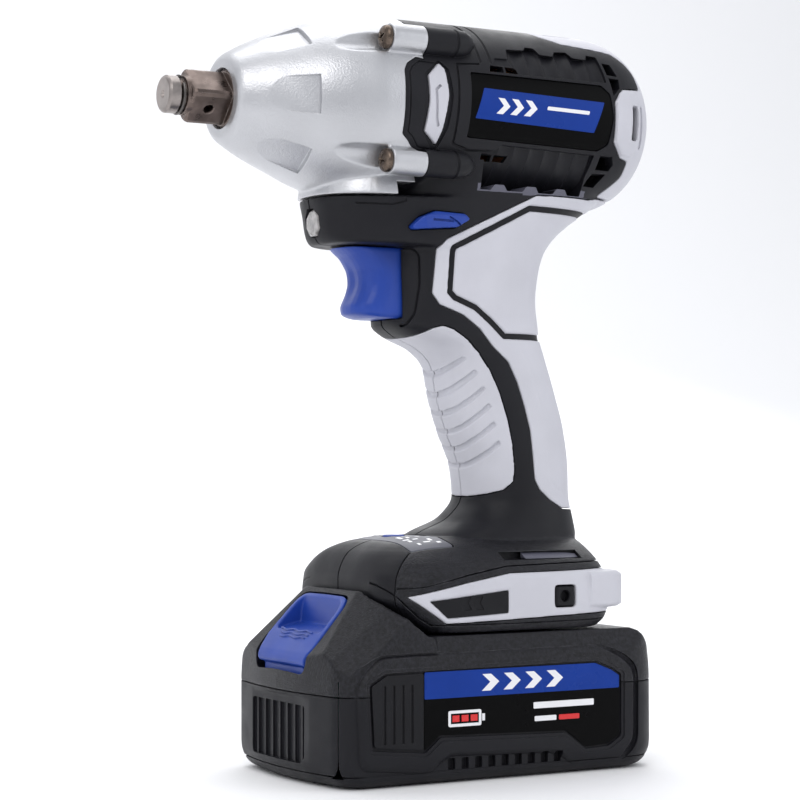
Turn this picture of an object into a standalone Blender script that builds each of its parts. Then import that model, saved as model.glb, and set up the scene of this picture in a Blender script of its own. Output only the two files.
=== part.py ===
"""Cordless impact wrench with a slide-on battery pack, built as separate pieces.

Frame: +X forward along the drive, +Y to the tool's left, +Z up.  The origin is on the
surface the battery stands on, under the middle of the tool.  Lengths below are in
millimetres and become metres when a mesh is made.
"""
import math

import bmesh
import bpy
from mathutils import Matrix, Vector

# ---------------------------------------------------------------- driving dimensions
AXIS_Z = 213.0          # height of the drive axis
TIP_X = 86.0            # front end of the anvil
REAR_X = -86.0          # back of the motor housing
BARREL_R = 30.0         # motor housing outside radius
WALL = 2.8              # clamshell wall
GAP = 0.3               # clearance between fixed neighbours
RUN = 0.5               # clearance round moving pieces
SKIN = 1.6              # thickness of the soft overmould
SQUARE = 12.7           # drive square across flats
PACK_W = 38.0           # battery half width
DECK_Z = 45.6           # battery deck under the tool's foot
PART_Z = 28.3           # battery shells' parting plane
MODULE = 0.9            # planetary gears
SUN_T, PLANET_T, RING_T = 12, 18, 48
TRIGGER_TRAVEL = 6.0
HAMMER_TRAVEL = 8.0
SCREW_Y, SCREW_DZ = 25.2, 19.3   # hammer case screws, from the drive axis

# ---------------------------------------------------------------- materials
COLOURS = {
    "black": ((0.022, 0.022, 0.026), 0.55, 0.0),
    "grey": ((0.62, 0.62, 0.66), 0.6, 0.0),
    "silver": ((0.66, 0.67, 0.69), 0.35, 0.85),
    "blue": ((0.02, 0.055, 0.42), 0.35, 0.0),
    "steel": ((0.18, 0.165, 0.155), 0.35, 1.0),
    "bright": ((0.55, 0.55, 0.56), 0.25, 1.0),
    "bronze": ((0.45, 0.29, 0.12), 0.4, 1.0),
    "label": ((0.006, 0.006, 0.007), 0.12, 0.0),
    "clear": ((0.75, 0.78, 0.8), 0.1, 0.0),
    "board": ((0.02, 0.16, 0.06), 0.5, 0.0),
    "cell": ((0.05, 0.25, 0.2), 0.4, 0.0),
    "copper": ((0.6, 0.25, 0.1), 0.4, 1.0),
    "panel": ((0.25, 0.26, 0.28), 0.25, 0.0),
    "nylon": ((0.55, 0.53, 0.47), 0.6, 0.0),
}


def material(key):
    found = bpy.data.materials.get(key)
    if found:
        return found
    colour, rough, metal = COLOURS[key]
    made = bpy.data.materials.new(key)
    made.use_nodes = True
    shader = made.node_tree.nodes["Principled BSDF"]
    shader.inputs["Base Color"].default_value = (*colour, 1)
    shader.inputs["Roughness"].default_value = rough
    shader.inputs["Metallic"].default_value = metal
    return made


# ---------------------------------------------------------------- modelling helpers
def clear():
    for obj in list(bpy.data.objects):
        bpy.data.objects.remove(obj, do_unlink=True)


def from_bmesh(name, bm):
    bmesh.ops.recalc_face_normals(bm, faces=bm.faces)
    mesh = bpy.data.meshes.new(name)
    bmesh.ops.scale(bm, vec=(0.001,) * 3, verts=bm.verts)
    bm.to_mesh(mesh)
    bm.free()
    obj = bpy.data.objects.new(name, mesh)
    bpy.context.scene.collection.objects.link(obj)
    return obj


def loft(rings, name="tmp", close=False):
    """Rings of points (mm) bridged one after another, with flat ends."""
    bm = bmesh.new()
    loops = [[bm.verts.new(p) for p in ring] for ring in rings]
    pairs = list(zip(loops, loops[1:]))
    if close:
        pairs.append((loops[-1], loops[0]))
    for a, b in pairs:
        for i in range(len(a)):
            j = (i + 1) % len(a)
            bm.faces.new((a[i], a[j], b[j], b[i]))
    if not close:
        bm.faces.new(loops[0])
        bm.faces.new(loops[-1])
    return from_bmesh(name, bm)


def turned(profile, segs=32, name="tmp", centre=(0.0, AXIS_Z), turn=0.0):
    """A closed profile of (x, r) turned about an axis along X.  Points on the axis share one vertex."""
    bm = bmesh.new()
    cy, cz = centre
    loops = []
    for x, r in profile:
        if r < 1e-6:
            loops.append([bm.verts.new((x, cy, cz))])
        else:
            loops.append([
                bm.verts.new((x, cy + r * math.cos(turn + 2 * math.pi * k / segs),
                              cz + r * math.sin(turn + 2 * math.pi * k / segs)))
                for k in range(segs)])
    n = len(loops)
    for i in range(n):
        a, b = loops[i], loops[(i + 1) % n]
        if len(a) == 1 and len(b) == 1:
            continue
        for k in range(segs):
            j = (k + 1) % segs
            if len(a) == 1:
                bm.faces.new((a[0], b[j], b[k]))
            elif len(b) == 1:
                bm.faces.new((a[k], a[j], b[0]))
            else:
                bm.faces.new((a[k], a[j], b[j], b[k]))
    return from_bmesh(name, bm)


def rod(p, q, r, segs=20, name="tmp", r2=None, turn=0.0):
    """A cylinder or cone from p to q."""
    p, q = Vector(p), Vector(q)
    d = (q - p).normalized()
    u = d.orthogonal().normalized() if abs(d.x) < 0.99 else Vector((0, 1, 0))
    v = d.cross(u)
    rings = []
    for c, radius in ((p, r), (q, r if r2 is None else r2)):
        rings.append([c + radius * (u * math.cos(turn + 2 * math.pi * k / segs)
                                    + v * math.sin(turn + 2 * math.pi * k / segs)) for k in range(segs)])
    return loft(rings, name)


def block(x0, x1, y0, y1, z0, z1, name="tmp", bevel=0.0):
    bm = bmesh.new()
    bmesh.ops.create_cube(bm, size=1.0)
    bmesh.ops.scale(bm, vec=(x1 - x0, y1 - y0, z1 - z0), verts=bm.verts)
    bmesh.ops.translate(bm, vec=((x0 + x1) / 2, (y0 + y1) / 2, (z0 + z1) / 2), verts=bm.verts)
    if bevel:
        bmesh.ops.bevel(bm, geom=bm.edges[:], offset=bevel, segments=1, affect="EDGES")
    return from_bmesh(name, bm)


def prism(outline, y0, y1, name="tmp"):
    """An outline of (x, z) points extruded from y0 to y1."""
    return loft([[(x, y, z) for x, z in outline] for y in (y0, y1)], name)


def plan(outline, z0, z1, name="tmp"):
    """An outline of (x, y) points extruded from z0 to z1."""
    return loft([[(x, y, z) for x, y in outline] for z in (z0, z1)], name)


def plate(outline, x0, x1, name="tmp"):
    """An outline of (y, z) points extruded from x0 to x1."""
    return loft([[(x, y, z) for y, z in outline] for x in (x0, x1)], name)


SOLVERS = ["EXACT", "MANIFOLD"]


def closed(mesh):
    bm = bmesh.new()
    bm.from_mesh(mesh)
    good = bool(bm.faces) and all(len(e.link_faces) == 2 for e in bm.edges)
    bm.free()
    return good


def join(a, b, operation, keep=False):
    """Applies a Boolean to a, and removes b unless keep is set.  The second solver is for joints
    where the first leaves a crack along nearly coplanar faces."""
    for solver in SOLVERS:
        modifier = a.modifiers.new("cut", "BOOLEAN")
        modifier.operation = operation
        modifier.solver = solver
        modifier.object = b
        graph = bpy.context.evaluated_depsgraph_get()
        mesh = bpy.data.meshes.new_from_object(a.evaluated_get(graph))
        a.modifiers.clear()
        if closed(mesh):
            break
    a.data = mesh
    if not keep:
        bpy.data.objects.remove(b, do_unlink=True)
    return a


def cut(a, *others):
    for b in others:
        join(a, b, "DIFFERENCE")
    return a


def fuse(a, *others):
    for b in others:
        join(a, b, "UNION")
    return a


def meet(a, b):
    return join(a, b, "INTERSECT")


def copy_of(obj, name="tmp"):
    made = obj.copy()
    made.data = obj.data.copy()
    made.name = name
    bpy.context.scene.collection.objects.link(made)
    return made


def largest_only(obj):
    """Drops the specks a Boolean can leave beside the piece."""
    bm = bmesh.new()
    bm.from_mesh(obj.data)
    left, groups = set(bm.faces), []
    while left:
        stack, group = [left.pop()], []
        while stack:
            face = stack.pop()
            group.append(face)
            for edge in face.edges:
                for other in edge.link_faces:
                    if other in left:
                        left.discard(other)
                        stack.append(other)
        groups.append(group)
    groups.sort(key=len)
    for group in groups[:-1]:
        bmesh.ops.delete(bm, geom=group, context="FACES")
    bm.to_mesh(obj.data)
    bm.free()
    return obj


def mirrored(obj, name):
    """The same piece on the tool's other side."""
    made = copy_of(obj, name)
    bm = bmesh.new()
    bm.from_mesh(made.data)
    bmesh.ops.scale(bm, vec=(1, -1, 1), verts=bm.verts)
    bmesh.ops.reverse_faces(bm, faces=bm.faces)
    bm.to_mesh(made.data)
    bm.free()
    return made


def drop(*objs):
    for obj in objs:
        bpy.data.objects.remove(obj, do_unlink=True)


def finish(obj, name, key, origin=None):
    """Names the piece, gives it its material and its origin, and shades it."""
    obj.name = name
    obj.data.name = name
    obj.data.materials.clear()
    obj.data.materials.append(material(key))
    for polygon in obj.data.polygons:
        polygon.material_index = 0
        polygon.use_smooth = True
    obj.data.set_sharp_from_angle(angle=math.radians(32))
    if origin:
        o = Vector(origin) * 0.001
        obj.data.transform(Matrix.Translation(-o))
        obj.location = o
    return obj


def oval(xf, xr, w, z, n=2.5, m=24, mid=None):
    """A level superellipse from x = xr to xf, half width w, widest at mid."""
    c = (xf + xr) / 2 if mid is None else mid
    ring = []
    for k in range(m):
        t = 2 * math.pi * k / m
        ct, st = math.cos(t), math.sin(t)
        x = c + (xf - c if ct > 0 else c - xr) * math.copysign(abs(ct) ** (2 / n), ct)
        y = w * math.copysign(abs(st) ** (2 / n), st)
        if abs(st) < 1e-9:
            y = 0.0
        ring.append((x, y, z))
    return ring


def offset(poly, d):
    """A polygon grown by d (shrunk where d is negative)."""
    n = len(poly)
    area = sum(poly[i][0] * poly[(i + 1) % n][1] - poly[(i + 1) % n][0] * poly[i][1] for i in range(n))
    sign = 1 if area > 0 else -1
    grown = []
    for i in range(n):
        (ax, az), (bx, bz), (cx, cz) = poly[i - 1], poly[i], poly[(i + 1) % n]
        u = Vector((bx - ax, bz - az)).normalized()
        v = Vector((cx - bx, cz - bz)).normalized()
        nu, nv = Vector((u.y, -u.x)) * sign, Vector((v.y, -v.x)) * sign
        mid = nu + nv
        mid = mid / max(0.35, mid.length_squared / 2)
        grown.append((bx + mid.x * d, bz + mid.y * d))
    return grown


def coil(x0, x1, r, wire, turns, name, sides=6, per=12, centre=(0.0, AXIS_Z)):
    """A compression spring along X."""
    cy, cz = centre
    rings = []
    steps = int(turns * per)
    for k in range(steps + 1):
        a = 2 * math.pi * k / per
        x = x0 + wire + (x1 - x0 - 2 * wire) * k / steps
        out = Vector((0, math.cos(a), math.sin(a)))
        rings.append([Vector((x, cy, cz)) + out * (r + wire * math.cos(2 * math.pi * j / sides))
                      + Vector((wire * math.sin(2 * math.pi * j / sides), 0, 0)) for j in range(sides)])
    return loft(rings, name)


def gear_outline(teeth, module, inner=False, backlash=0.22, turn=0.0):
    """Tooth outline as (y, z) points round the origin: involute flanks at 20 degrees."""
    pitch = module * teeth / 2
    base = pitch * math.cos(math.radians(20))
    top, root = (pitch + module * 0.92, pitch - module * 1.2) if not inner else (pitch + module * 1.2, pitch - module * 0.92)

    def inv(r):
        return math.tan(math.acos(base / r)) - math.acos(base / r) if r > base else 0.0

    half = math.pi / (2 * teeth) + (-1 if not inner else 1) * backlash / (2 * pitch)
    radii = [root, top]
    points = []
    for k in range(teeth):
        mid = turn + 2 * math.pi * k / teeth
        left = [(r, mid - (half + inv(pitch) - inv(max(r, base)))) for r in radii]
        right = [(r, mid + (half + inv(pitch) - inv(max(r, base)))) for r in reversed(radii)]
        points += [(r * math.cos(a), r * math.sin(a)) for r, a in left + right]
    return points


def ring_plate(outline, hole, x0, x1, name="tmp", centre=(0.0, AXIS_Z)):
    """A plate between an (y, z) outline and a hole of the same number of points."""
    cy, cz = centre

    def at(points, x):
        return [(x, cy + y, cz + z) for y, z in points]

    return loft([at(outline, x0), at(outline, x1), at(hole, x1), at(hole, x0)], name, close=True)


# ---------------------------------------------------------------- the body's outer form
# level sections of the handle and of the neck under the hammer case:
# z, front x, back x, half width, squareness
HANDLE = [
    (68, 4, -57, 25, 2.6), (76, -4, -61.5, 20.5, 2.5), (81, -15.5, -60.7, 18.6, 2.4), (88, -21, -59.2, 17.2, 2.4),
    (97, -20, -59.1, 17, 2.4), (110, -14.8, -57.5, 17.2, 2.4),
    (121, -11.3, -54.4, 17.2, 2.4), (131, -9.2, -51, 17.2, 2.4), (136.5, -3.6, -49, 17.4, 2.5),
    (140, 4.5, -47.5, 17.8, 2.7), (144, 9, -46.4, 18.2, 3), (153, 9, -45.2, 18.8, 3), (161, 9, -45.9, 19.8, 3),
    (168.2, 9, -48.3, 20.7, 2.9), (168.9, 31.5, -48.7, 20.8, 2.9), (173.2, 33.8, -52.2, 21.5, 2.9),
    (178, 34.6, -58.5, 22.2, 2.8), (183.4, 35.6, -67, 23.2, 2.75), (184.2, 9.4, -68, 23.4, 2.75),
    (195, 9.4, -78.5, 26, 2.6), (206, 5, -83, 27.5, 2.5),
]
# the foot over the battery
FOOT = [
    (46.3, 12, -56, 35.5, 6), (49, 16.4, -59, 37, 6), (53.7, 21.7, -60.5, 37.6, 6), (57.6, 25, -60.8, 37.6, 5.5),
    (63, 25, -60.8, 37.2, 5), (67, 23.8, -60.4, 35.2, 4.6), (70.5, 21.5, -59.5, 31.5, 5.5), (73.5, 16, -58.5, 26.5, 5.5), (75.5, 7.5, -57, 22, 5.5),
]
# the motor barrel, front to back: x, radius
BARREL = [(17, 29.7), (8.6, 30), (-30, 30), (-60, 29.9), (-68, 29.2), (-74.5, 27), (-80, 23), (-83.8, 17.5), (-85.6, 11)]
# the hammer case, front to back
CASE = [(66.5, 12.2), (65.6, 13.7), (63, 15.4), (56, 19), (47, 22.8), (39, 26.1), (31, 28.4), (22, 29.9), (8.6, 30.2)]


def body_form(d=0.0, m=14, segs=22):
    """The housing's outside, moved in by d."""
    profile = [(BARREL[0][0], 0)] + [(x if i < 3 else x + d * 0.8, r - d) for i, (x, r) in enumerate(BARREL)] + [(REAR_X + d, 0)]
    form = turned(profile, segs)
    fuse(form, loft([oval(xf - d, xr + d, w - d, z, n, m, None if z < 150 else -18.5) for z, xf, xr, w, n in HANDLE]))
    lift = [min(d, 2.0), 0, 0, 0, 0] + [-d] * 4
    fuse(form, loft([oval(xf - d, xr + d, w - d, z + k, n, m) for (z, xf, xr, w, n), k in zip(FOOT, lift)]))
    return form


def skin(outer, inner):
    """The layer of the body's form between two depths."""
    return cut(body_form(outer), body_form(inner))


# outlines in side view, (x, z)
CASE_SIDE = [(70, 183.9), (14.9, 183.9), (14.9, 188), (8.6, 188), (8.6, 250), (70, 250)]
TAB = [(0, 224.6), (11.4, 226.4), (15, 224.2), (16.4, 221.9), (16.8, 213), (16.8, 202.1), (14.3, 200.1), (11.8, 197.1), (0, 196)]
REAR_TRIM = [
    (-95, 186.0), (-36.2, 186.0), (-3.8, 170.7), (-1, 167.6), (-0.4, 153.4), (-3, 149.8), (-11.2, 146.7), (-17.6, 142.4),
    (-22.6, 137.1), (-28.9, 131.9), (-32.3, 125.4), (-35, 117.9), (-37.3, 109.8), (-38.4, 101.6), (-39.2, 93.5),
    (-41.1, 90.2), (-45, 86.9), (-50.1, 84.2), (-95, 82),
]
FRONT_GRIP = [
    (30, 137.9), (6.8, 137.9), (3.2, 139.5), (-1.3, 142.3), (-4.3, 143.1), (-8, 142), (-13.6, 138.7), (-18.2, 134.6),
    (-22.3, 129.1), (-25.8, 121.7), (-28.8, 113), (-30.7, 104.9), (-31.8, 96.8), (-31.2, 92.9), (-28.4, 90.3), (-21, 88.1),
    (-15.4, 86.2), (-7.8, 85.4), (30, 85.4),
]
REAR_CAP = [
    (-36.5, 250), (-43.6, 239.8), (-49.5, 237.3), (-75.2, 235.6), (-80, 231.5), (-82, 228.5), (-82, 223.2), (-75.4, 223),
    (-67.3, 221.8), (-64, 217.5), (-64, 203.9), (-67.2, 199.8), (-71, 199), (-70.5, 194), (-64.5, 187.8), (-100, 187.8), (-100, 250),
]
NAMEPLATE = [(-8, 223), (-6.8, 202.6), (-57, 201.4), (-60.5, 203.5), (-61.9, 212), (-61, 220), (-58, 222.6)]
ACCENT = [(7.8, 221), (3.4, 225.2), (1.6, 223.4), (0.9, 215), (2.8, 203.8), (4.2, 199.6), (9, 203.4), (7.8, 213)]
FOOT_TRIM = [
    (19, 57.9), (6.2, 49.4), (-12, 49.8), (-34.6, 50.6), (-50, 51), (-95, 52.2), (-95, 64.2), (-51.3, 64.9), (-34.7, 64.6),
    (-16.6, 64.4), (-1.1, 61.9), (13.4, 59),
]
SIDE_PANEL = [
    (34.3, 32.1), (28.7, 35.1), (-48.7, 35.5), (-55.3, 32.9), (-58.5, 30.8), (-58.4, 11.2), (-53.6, 8.3), (-44.7, 7.9),
    (-37, 13.5), (9.3, 14.8), (14.7, 10.3), (33.3, 12.1),
]
LABEL = [(15, 35), (-48.5, 35), (-55, 32.5), (-58, 30.5), (-58, 11.5), (-53.5, 8.8), (-45, 8.4), (-37.4, 14), (9.5, 15.3), (15, 10.9)]
NUT_AT = (-37.3, 56.7)


def make_case():
    """Cast hammer case: cone, four screw bosses, recessed windows and a skirt over the neck."""
    form = turned([(66.5, 0)] + CASE + [(8.6, 0)], 24)
    skirt = [(183.9, 35.9, 22.4, 2.6), (187, 35.6, 21.6, 2.6), (192, 33, 20, 2.4), (197, 28, 16, 2.2)]
    fuse(form, loft([oval(xf, -30, w, z, n, 18) for z, xf, w, n in skirt]))
    for y in (SCREW_Y, -SCREW_Y):
        for dz in (SCREW_DZ, -SCREW_DZ):
            fuse(form, rod((8.0, y, AXIS_Z + dz), (20.6, y, AXIS_Z + dz), 4.5, 14))
    meet(form, prism(CASE_SIDE, -50, 50))
    for y in (SCREW_Y, -SCREW_Y):
        for dz in (SCREW_DZ, -SCREW_DZ):
            cut(form, rod((20.7, y, AXIS_Z + dz), (46, y, AXIS_Z + dz), 4.4, 12, r2=5.5, turn=0.1))
    for degrees in (0, 52, -52, 180, 128, 232):
        turn = Matrix.Rotation(math.radians(degrees), 3, "X")
        rings = []
        for x, low, high, half in ((45.5, 22.3, 30, 5.9), (64.2, 15.4, 24, 4.6)):
            rings.append([turn @ Vector((x, low, -half)) + Vector((0, 0, AXIS_Z)), turn @ Vector((x, high, -half)) + Vector((0, 0, AXIS_Z)),
                          turn @ Vector((x, high, half)) + Vector((0, 0, AXIS_Z)), turn @ Vector((x, low, half)) + Vector((0, 0, AXIS_Z))])
        cut(form, loft(rings))
    fuse(form, turned([(9.6, 22.4), (9.6, 25.8), (1.5, 25.8), (1.5, 22.4)], 20, turn=0.07))
    for side in (1, -1):
        tab = prism(offset(TAB, GAP), 10 * side, 45 * side)
        cut(tab, turned([(-5, 0), (-5, 26.2), (30, 26.2), (30, 0)], 28, turn=0.03))
        cut(form, tab)
    bore = turned([(67, 0), (67, 9.5), (62, 9.5), (62, 12.3), (44.4, 12.3), (44, 19.4), (40, 22), (31, 23.2), (1, 23.2), (1, 0)], 20, turn=0.05)
    cut(form, bore)
    for y in (SCREW_Y, -SCREW_Y):
        for dz in (SCREW_DZ, -SCREW_DZ):
            cut(form, rod((0, y, AXIS_Z + dz), (25, y, AXIS_Z + dz), 2.0, 8, turn=0.15))
    return form


def make_housing():
    """The clamshell: hollow body, open for the case, trigger, selector, battery rails and screws."""
    body = body_form(0)
    for y in (SCREW_Y, -SCREW_Y):
        for dz in (SCREW_DZ, -SCREW_DZ):
            fuse(body, turned([(8.6, 0), (8.6, 4.5), (-2.3, 4.5), (-2.3, 4.1), (-2.9, 4.1), (-2.9, 4.5), (-11.6, 0)], 14, centre=(y, AXIS_Z + dz)))
    space = prism(offset(CASE_SIDE, GAP), -60, 60)
    for side in (1, -1):
        cut(space, prism(TAB, 20 * side, 45 * side))
    cut(body, space)
    cavity = body_form(3.2)
    cut(cavity, block(-90, 60, -60, 60, 40, 56.5))
    cut(cavity, block(5.6, 60, -60, 60, 166, 172))
    cut(cavity, block(5.6, 60, -60, 60, 180.3, 186.5))
    cut(cavity, turned([(-71, 11.4), (-71, 29), (-66.5, 29), (-66.5, 11.4)], 24, turn=0.04))
    fuse(cavity, turned([(22, 0), (22, 26.75), (-2, 26.75), (-2, 0)], 26, turn=0.09))
    cut(body, cavity)
    # soft parts sit in shallow recesses
    for depth, outline in ((SKIN + 1.0, REAR_TRIM), (SKIN + 0.4, FRONT_GRIP), (2.1, REAR_CAP), (2.1, NAMEPLATE), (1.7, ACCENT), (2.0, FOOT_TRIM)):
        layer = cut(block(-110, 40, -60, 60, 20, 260), body_form(depth))
        cut(body, meet(prism(offset(outline, GAP), -60, 60), layer))
    # trigger slot, selector slot, lens window, panel seat
    cut(body, block(-2, 14, -10.5, 10.5, 145.3, 168.5))
    cut(body, prism(offset(SELECTOR, 0.35), -40, 40))
    cut(body, plate([(4.9 * math.cos(a), 175.6 + 4.9 * math.sin(a)) for a in EIGHTHS], 29.7, 40))
    under = cut(block(-110, 40, -60, 60, 20, 260), body_form(2.1))
    cut(body, meet(plan(offset(PANEL_AREA, GAP), 66, 80), under))
    cut(body, block(KEY_AT[0] - 2.5, KEY_AT[0] + 2.5, -3, 3, 68, 77))
    # battery channel and terminal pocket
    cut(body, block(-50, 40, -14, 14, 45, 50.2))
    cut(body, block(-50, 40, -17.5, 17.5, 49.0, 53.6))
    cut(body, block(-54, -46.6, -12.6, 12.6, 49.0, 58))
    # cooling slots, belt-hook nut seats, side grooves
    for side in (1, -1):
        for x0, x1, z0, z1 in ((-28.8, -17.4, 224, 226.4), (-26.4, -14.7, 195.6, 198), (-65.5, -61.5, 224.2, 231), (-63, -57.5, 190, 198.4), (-75, -71.2, 205.5, 217)):
            cut(body, block(x0, x1, 12 * side, 45 * side, z0, z1) if side > 0 else block(x0, x1, -45, -12, z0, z1))
        x, z = NUT_AT
        cut(body, block(x - 4.1, x + 4.1, 33.6, 50, z - 3.6, z + 3.6) if side > 0 else block(x - 4.1, x + 4.1, -50, -33.6, z - 3.6, z + 3.6))
        cut(body, block(-48, -17.3, 31, 50, 68.3, 70.8) if side > 0 else block(-48, -17.3, -50, -31, 68.3, 70.8))
    for y in (SCREW_Y, -SCREW_Y):
        for dz in (SCREW_DZ, -SCREW_DZ):
            cut(body, rod((-7, y, AXIS_Z + dz), (12, y, AXIS_Z + dz), 2.0, 8, turn=0.15))
    return body


EIGHTHS = [math.radians(22.5 + 45 * k) for k in range(8)]
SELECTOR = [(10.2, 173.9), (7.2, 176.9), (2.1, 179), (-8.7, 178.6), (-10.3, 176.8), (-5.7, 174.2), (9.4, 173)]
PANEL_AREA = [(12.2, 24.5), (-3.2, 24.5), (-3.2, -24.5), (12.2, -24.5)]   # seen from above, (x, y)
KEY_AT = (4.5, 75.5)    # mode button, x and z
SCREWS_RIGHT = [(-14, 182.6, 22), (-38, 120, 14), (-46, 90, 14), (8, 64, 36)]   # x, z and depth of the housing screws


def half(body, side, name):
    """One side of the clamshell."""
    made = copy_of(body)
    meet(made, block(-120, 120, 0.15, 80, -20, 300) if side > 0 else block(-120, 120, -80, -0.15, -20, 300))
    return largest_only(made)


def main():
    clear()
    # ------------------------------------------------ drive: anvil, spindle, hammer, gears
    anvil = turned([(66, 0), (66, 9.1), (64.5, 9.1), (64.5, 8.6), (43, 8.6), (42.6, 10), (42.2, 11), (37.4, 11), (37.4, 5.3), (50, 5.3), (50, 0)], 18)
    for angle in (0, math.pi):
        ear = block(37.4, 42.2, 9, 18, AXIS_Z - 4.4, AXIS_Z + 4.4)
        spin = Matrix.Translation((0, 0, AXIS_Z * 0.001)) @ Matrix.Rotation(angle, 4, "X") @ Matrix.Translation((0, 0, -AXIS_Z * 0.001))
        ear.data.transform(spin)
        fuse(anvil, ear)
    h, c = SQUARE / 2, 1.0
    square = [(h, h - c), (h - c, h), (-h + c, h), (-h, h - c), (-h, -h + c), (-h + c, -h), (h - c, -h), (h, -h + c)]
    square = [((y - z) * math.sqrt(0.5), (y + z) * math.sqrt(0.5) + AXIS_Z) for y, z in square]
    fuse(anvil, plate(square, 65.5, 79))
    cut(anvil, turned([(65.9, 6.0), (65.9, 12), (66.7, 12), (66.7, 6.0)], 24, turn=0.05))    # relief at the root of the square
    fuse(anvil, turned([(86, 0), (86, 5.3), (85.2, 5.9), (82.2, 5.9), (82.2, 5.0), (80, 5.0), (80, 6.1), (78, 6.25), (78, 0)], 18, turn=0.08))
    cut(anvil, rod((86.5, 0, AXIS_Z), (84.6, 0, AXIS_Z), 1.6, 12, r2=0.3))
    cut(anvil, rod((72.5, 9, AXIS_Z - 9), (72.5, 1, AXIS_Z - 1), 1.5, 10))
    finish(anvil, "anvil", "steel", (60, 0, AXIS_Z))
    clip = [(y, z) for y, z in ((6.0 * math.cos(a), 6.0 * math.sin(a)) for a in (math.radians(70 + 320 * k / 12) for k in range(13)))]
    clip += [(y, z) for y, z in ((5.3 * math.cos(a), 5.3 * math.sin(a)) for a in (math.radians(70 + 320 * k / 12) for k in range(12, -1, -1)))]
    finish(plate([(y, z + AXIS_Z) for y, z in clip], 80.3, 81.9), "friction_ring", "bright", (60, 0, AXIS_Z))
    finish(turned([(61.7, 9.0), (61.7, 12.0), (44.8, 12.0), (44.8, 9.0)], 26), "nose_bushing", "bronze")

    spindle = turned([(48.5, 0), (49, 0), (49, 4.8), (37, 4.8), (36.6, 6.8), (6, 6.8), (5, 9.5), (2.6, 18.3), (-0.4, 18.3), (-0.4, 5.2), (8, 5.2), (8, 0)][1:], 16)
    fuse(spindle, turned([(-9.6, 8), (-9.6, 18.3), (-12, 18.3), (-12, 8)], 16, turn=0.06))
    for k in range(3):
        a = math.pi / 2 + 2 * math.pi * k / 3
        y, z = 13.5 * math.cos(a), 13.5 * math.sin(a) + AXIS_Z
        fuse(spindle, rod((1, y, z), (-10.5, y, z), 2.5, 10, turn=0.21))
        b = a + math.pi / 3
        y, z = 15.2 * math.cos(b), 15.2 * math.sin(b) + AXIS_Z
        fuse(spindle, rod((1.2, y, z), (-10.7, y, z), 2.4, 8, turn=0.33))
    for side in (1, -1):
        ball_seat = rod((22.5, 6.9 * side, AXIS_Z), (29.5, 6.9 * side, AXIS_Z), 2.9, 10)
        cut(spindle, ball_seat)
    finish(spindle, "spindle", "steel", (0, 0, AXIS_Z))
    for k, side in enumerate((1, -1)):
        bm = bmesh.new()
        bmesh.ops.create_icosphere(bm, subdivisions=1, radius=2.4)
        bmesh.ops.translate(bm, vec=(26, 6.95 * side, AXIS_Z), verts=bm.verts)
        finish(from_bmesh("tmp", bm), f"cam_ball_{k + 1}", "bright", (26, 6.95 * side, AXIS_Z))

    hammer = turned([(36, 7.2), (36, 21.4), (15.5, 21.4), (15.5, 16.6), (24, 16.6), (24, 10.4), (15.5, 10.4), (15.5, 7.2)], 18)
    for angle in (math.pi / 2, -math.pi / 2):
        dog = loft([[(x, y, z) for y, z in ((-5.5, AXIS_Z + 12), (5.5, AXIS_Z + 12), (6.5, AXIS_Z + 18.4), (-6.5, AXIS_Z + 18.4))] for x in (35, 42)])
        spin = Matrix.Translation((0, 0, AXIS_Z * 0.001)) @ Matrix.Rotation(angle - math.pi / 2, 4, "X") @ Matrix.Translation((0, 0, -AXIS_Z * 0.001))
        dog.data.transform(spin)
        fuse(hammer, dog)
    for side in (1, -1):
        cut(hammer, rod((14, 6.9 * side, AXIS_Z), (38, 6.9 * side, AXIS_Z), 2.9, 10))
    finish(hammer, "hammer", "steel", (26, 0, AXIS_Z))
    finish(coil(5.5, 23.6, 13.5, 1.1, 4, "tmp", sides=5, per=10), "hammer_spring", "bright", (5.2, 0, AXIS_Z))

    pitch_c = MODULE * (SUN_T + PLANET_T) / 2
    for k in range(3):
        a = math.pi / 2 + 2 * math.pi * k / 3
        y, z = pitch_c * math.cos(a), pitch_c * math.sin(a)
        # each planet is turned so that its teeth sit in the sun's gaps and the ring's gaps
        turn = a + math.pi + math.pi / PLANET_T - (a * SUN_T / PLANET_T)
        outline = [(y + p, z + q) for p, q in gear_outline(PLANET_T, MODULE, turn=turn)]
        count = len(outline)
        hole = [(y + 2.95 * math.cos(turn + 2 * math.pi * j / count), z + 2.95 * math.sin(turn + 2 * math.pi * j / count)) for j in range(count)]
        planet = plate([(p, q + AXIS_Z) for p, q in outline], -8.7, -1.3)
        cut(planet, rod((-10, y, z + AXIS_Z), (0, y, z + AXIS_Z), 2.9, 10, turn=0.21))
        finish(planet, f"planet_gear_{k + 1}", "steel", (-5, y, z + AXIS_Z))
    ring_teeth = gear_outline(RING_T, MODULE, inner=True, turn=RING_PHASE)
    ring = plate([(26.2 * math.cos(2 * math.pi * j / 48), AXIS_Z + 26.2 * math.sin(2 * math.pi * j / 48)) for j in range(48)], -9.0, -1.0)
    cut(ring, plate([(y, z + AXIS_Z) for y, z in ring_teeth], -12, 2))
    finish(ring, "ring_gear", "steel")
    gearbox = turned([(-12.6, 12.2), (-12.6, 19), (-9.4, 19.4), (-9.4, 26.2), (-16, 26.2), (-16, 7.2), (-14.4, 7.2), (-14.4, 12.2)], 18)
    finish(gearbox, "gearbox_plate", "nylon")

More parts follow.
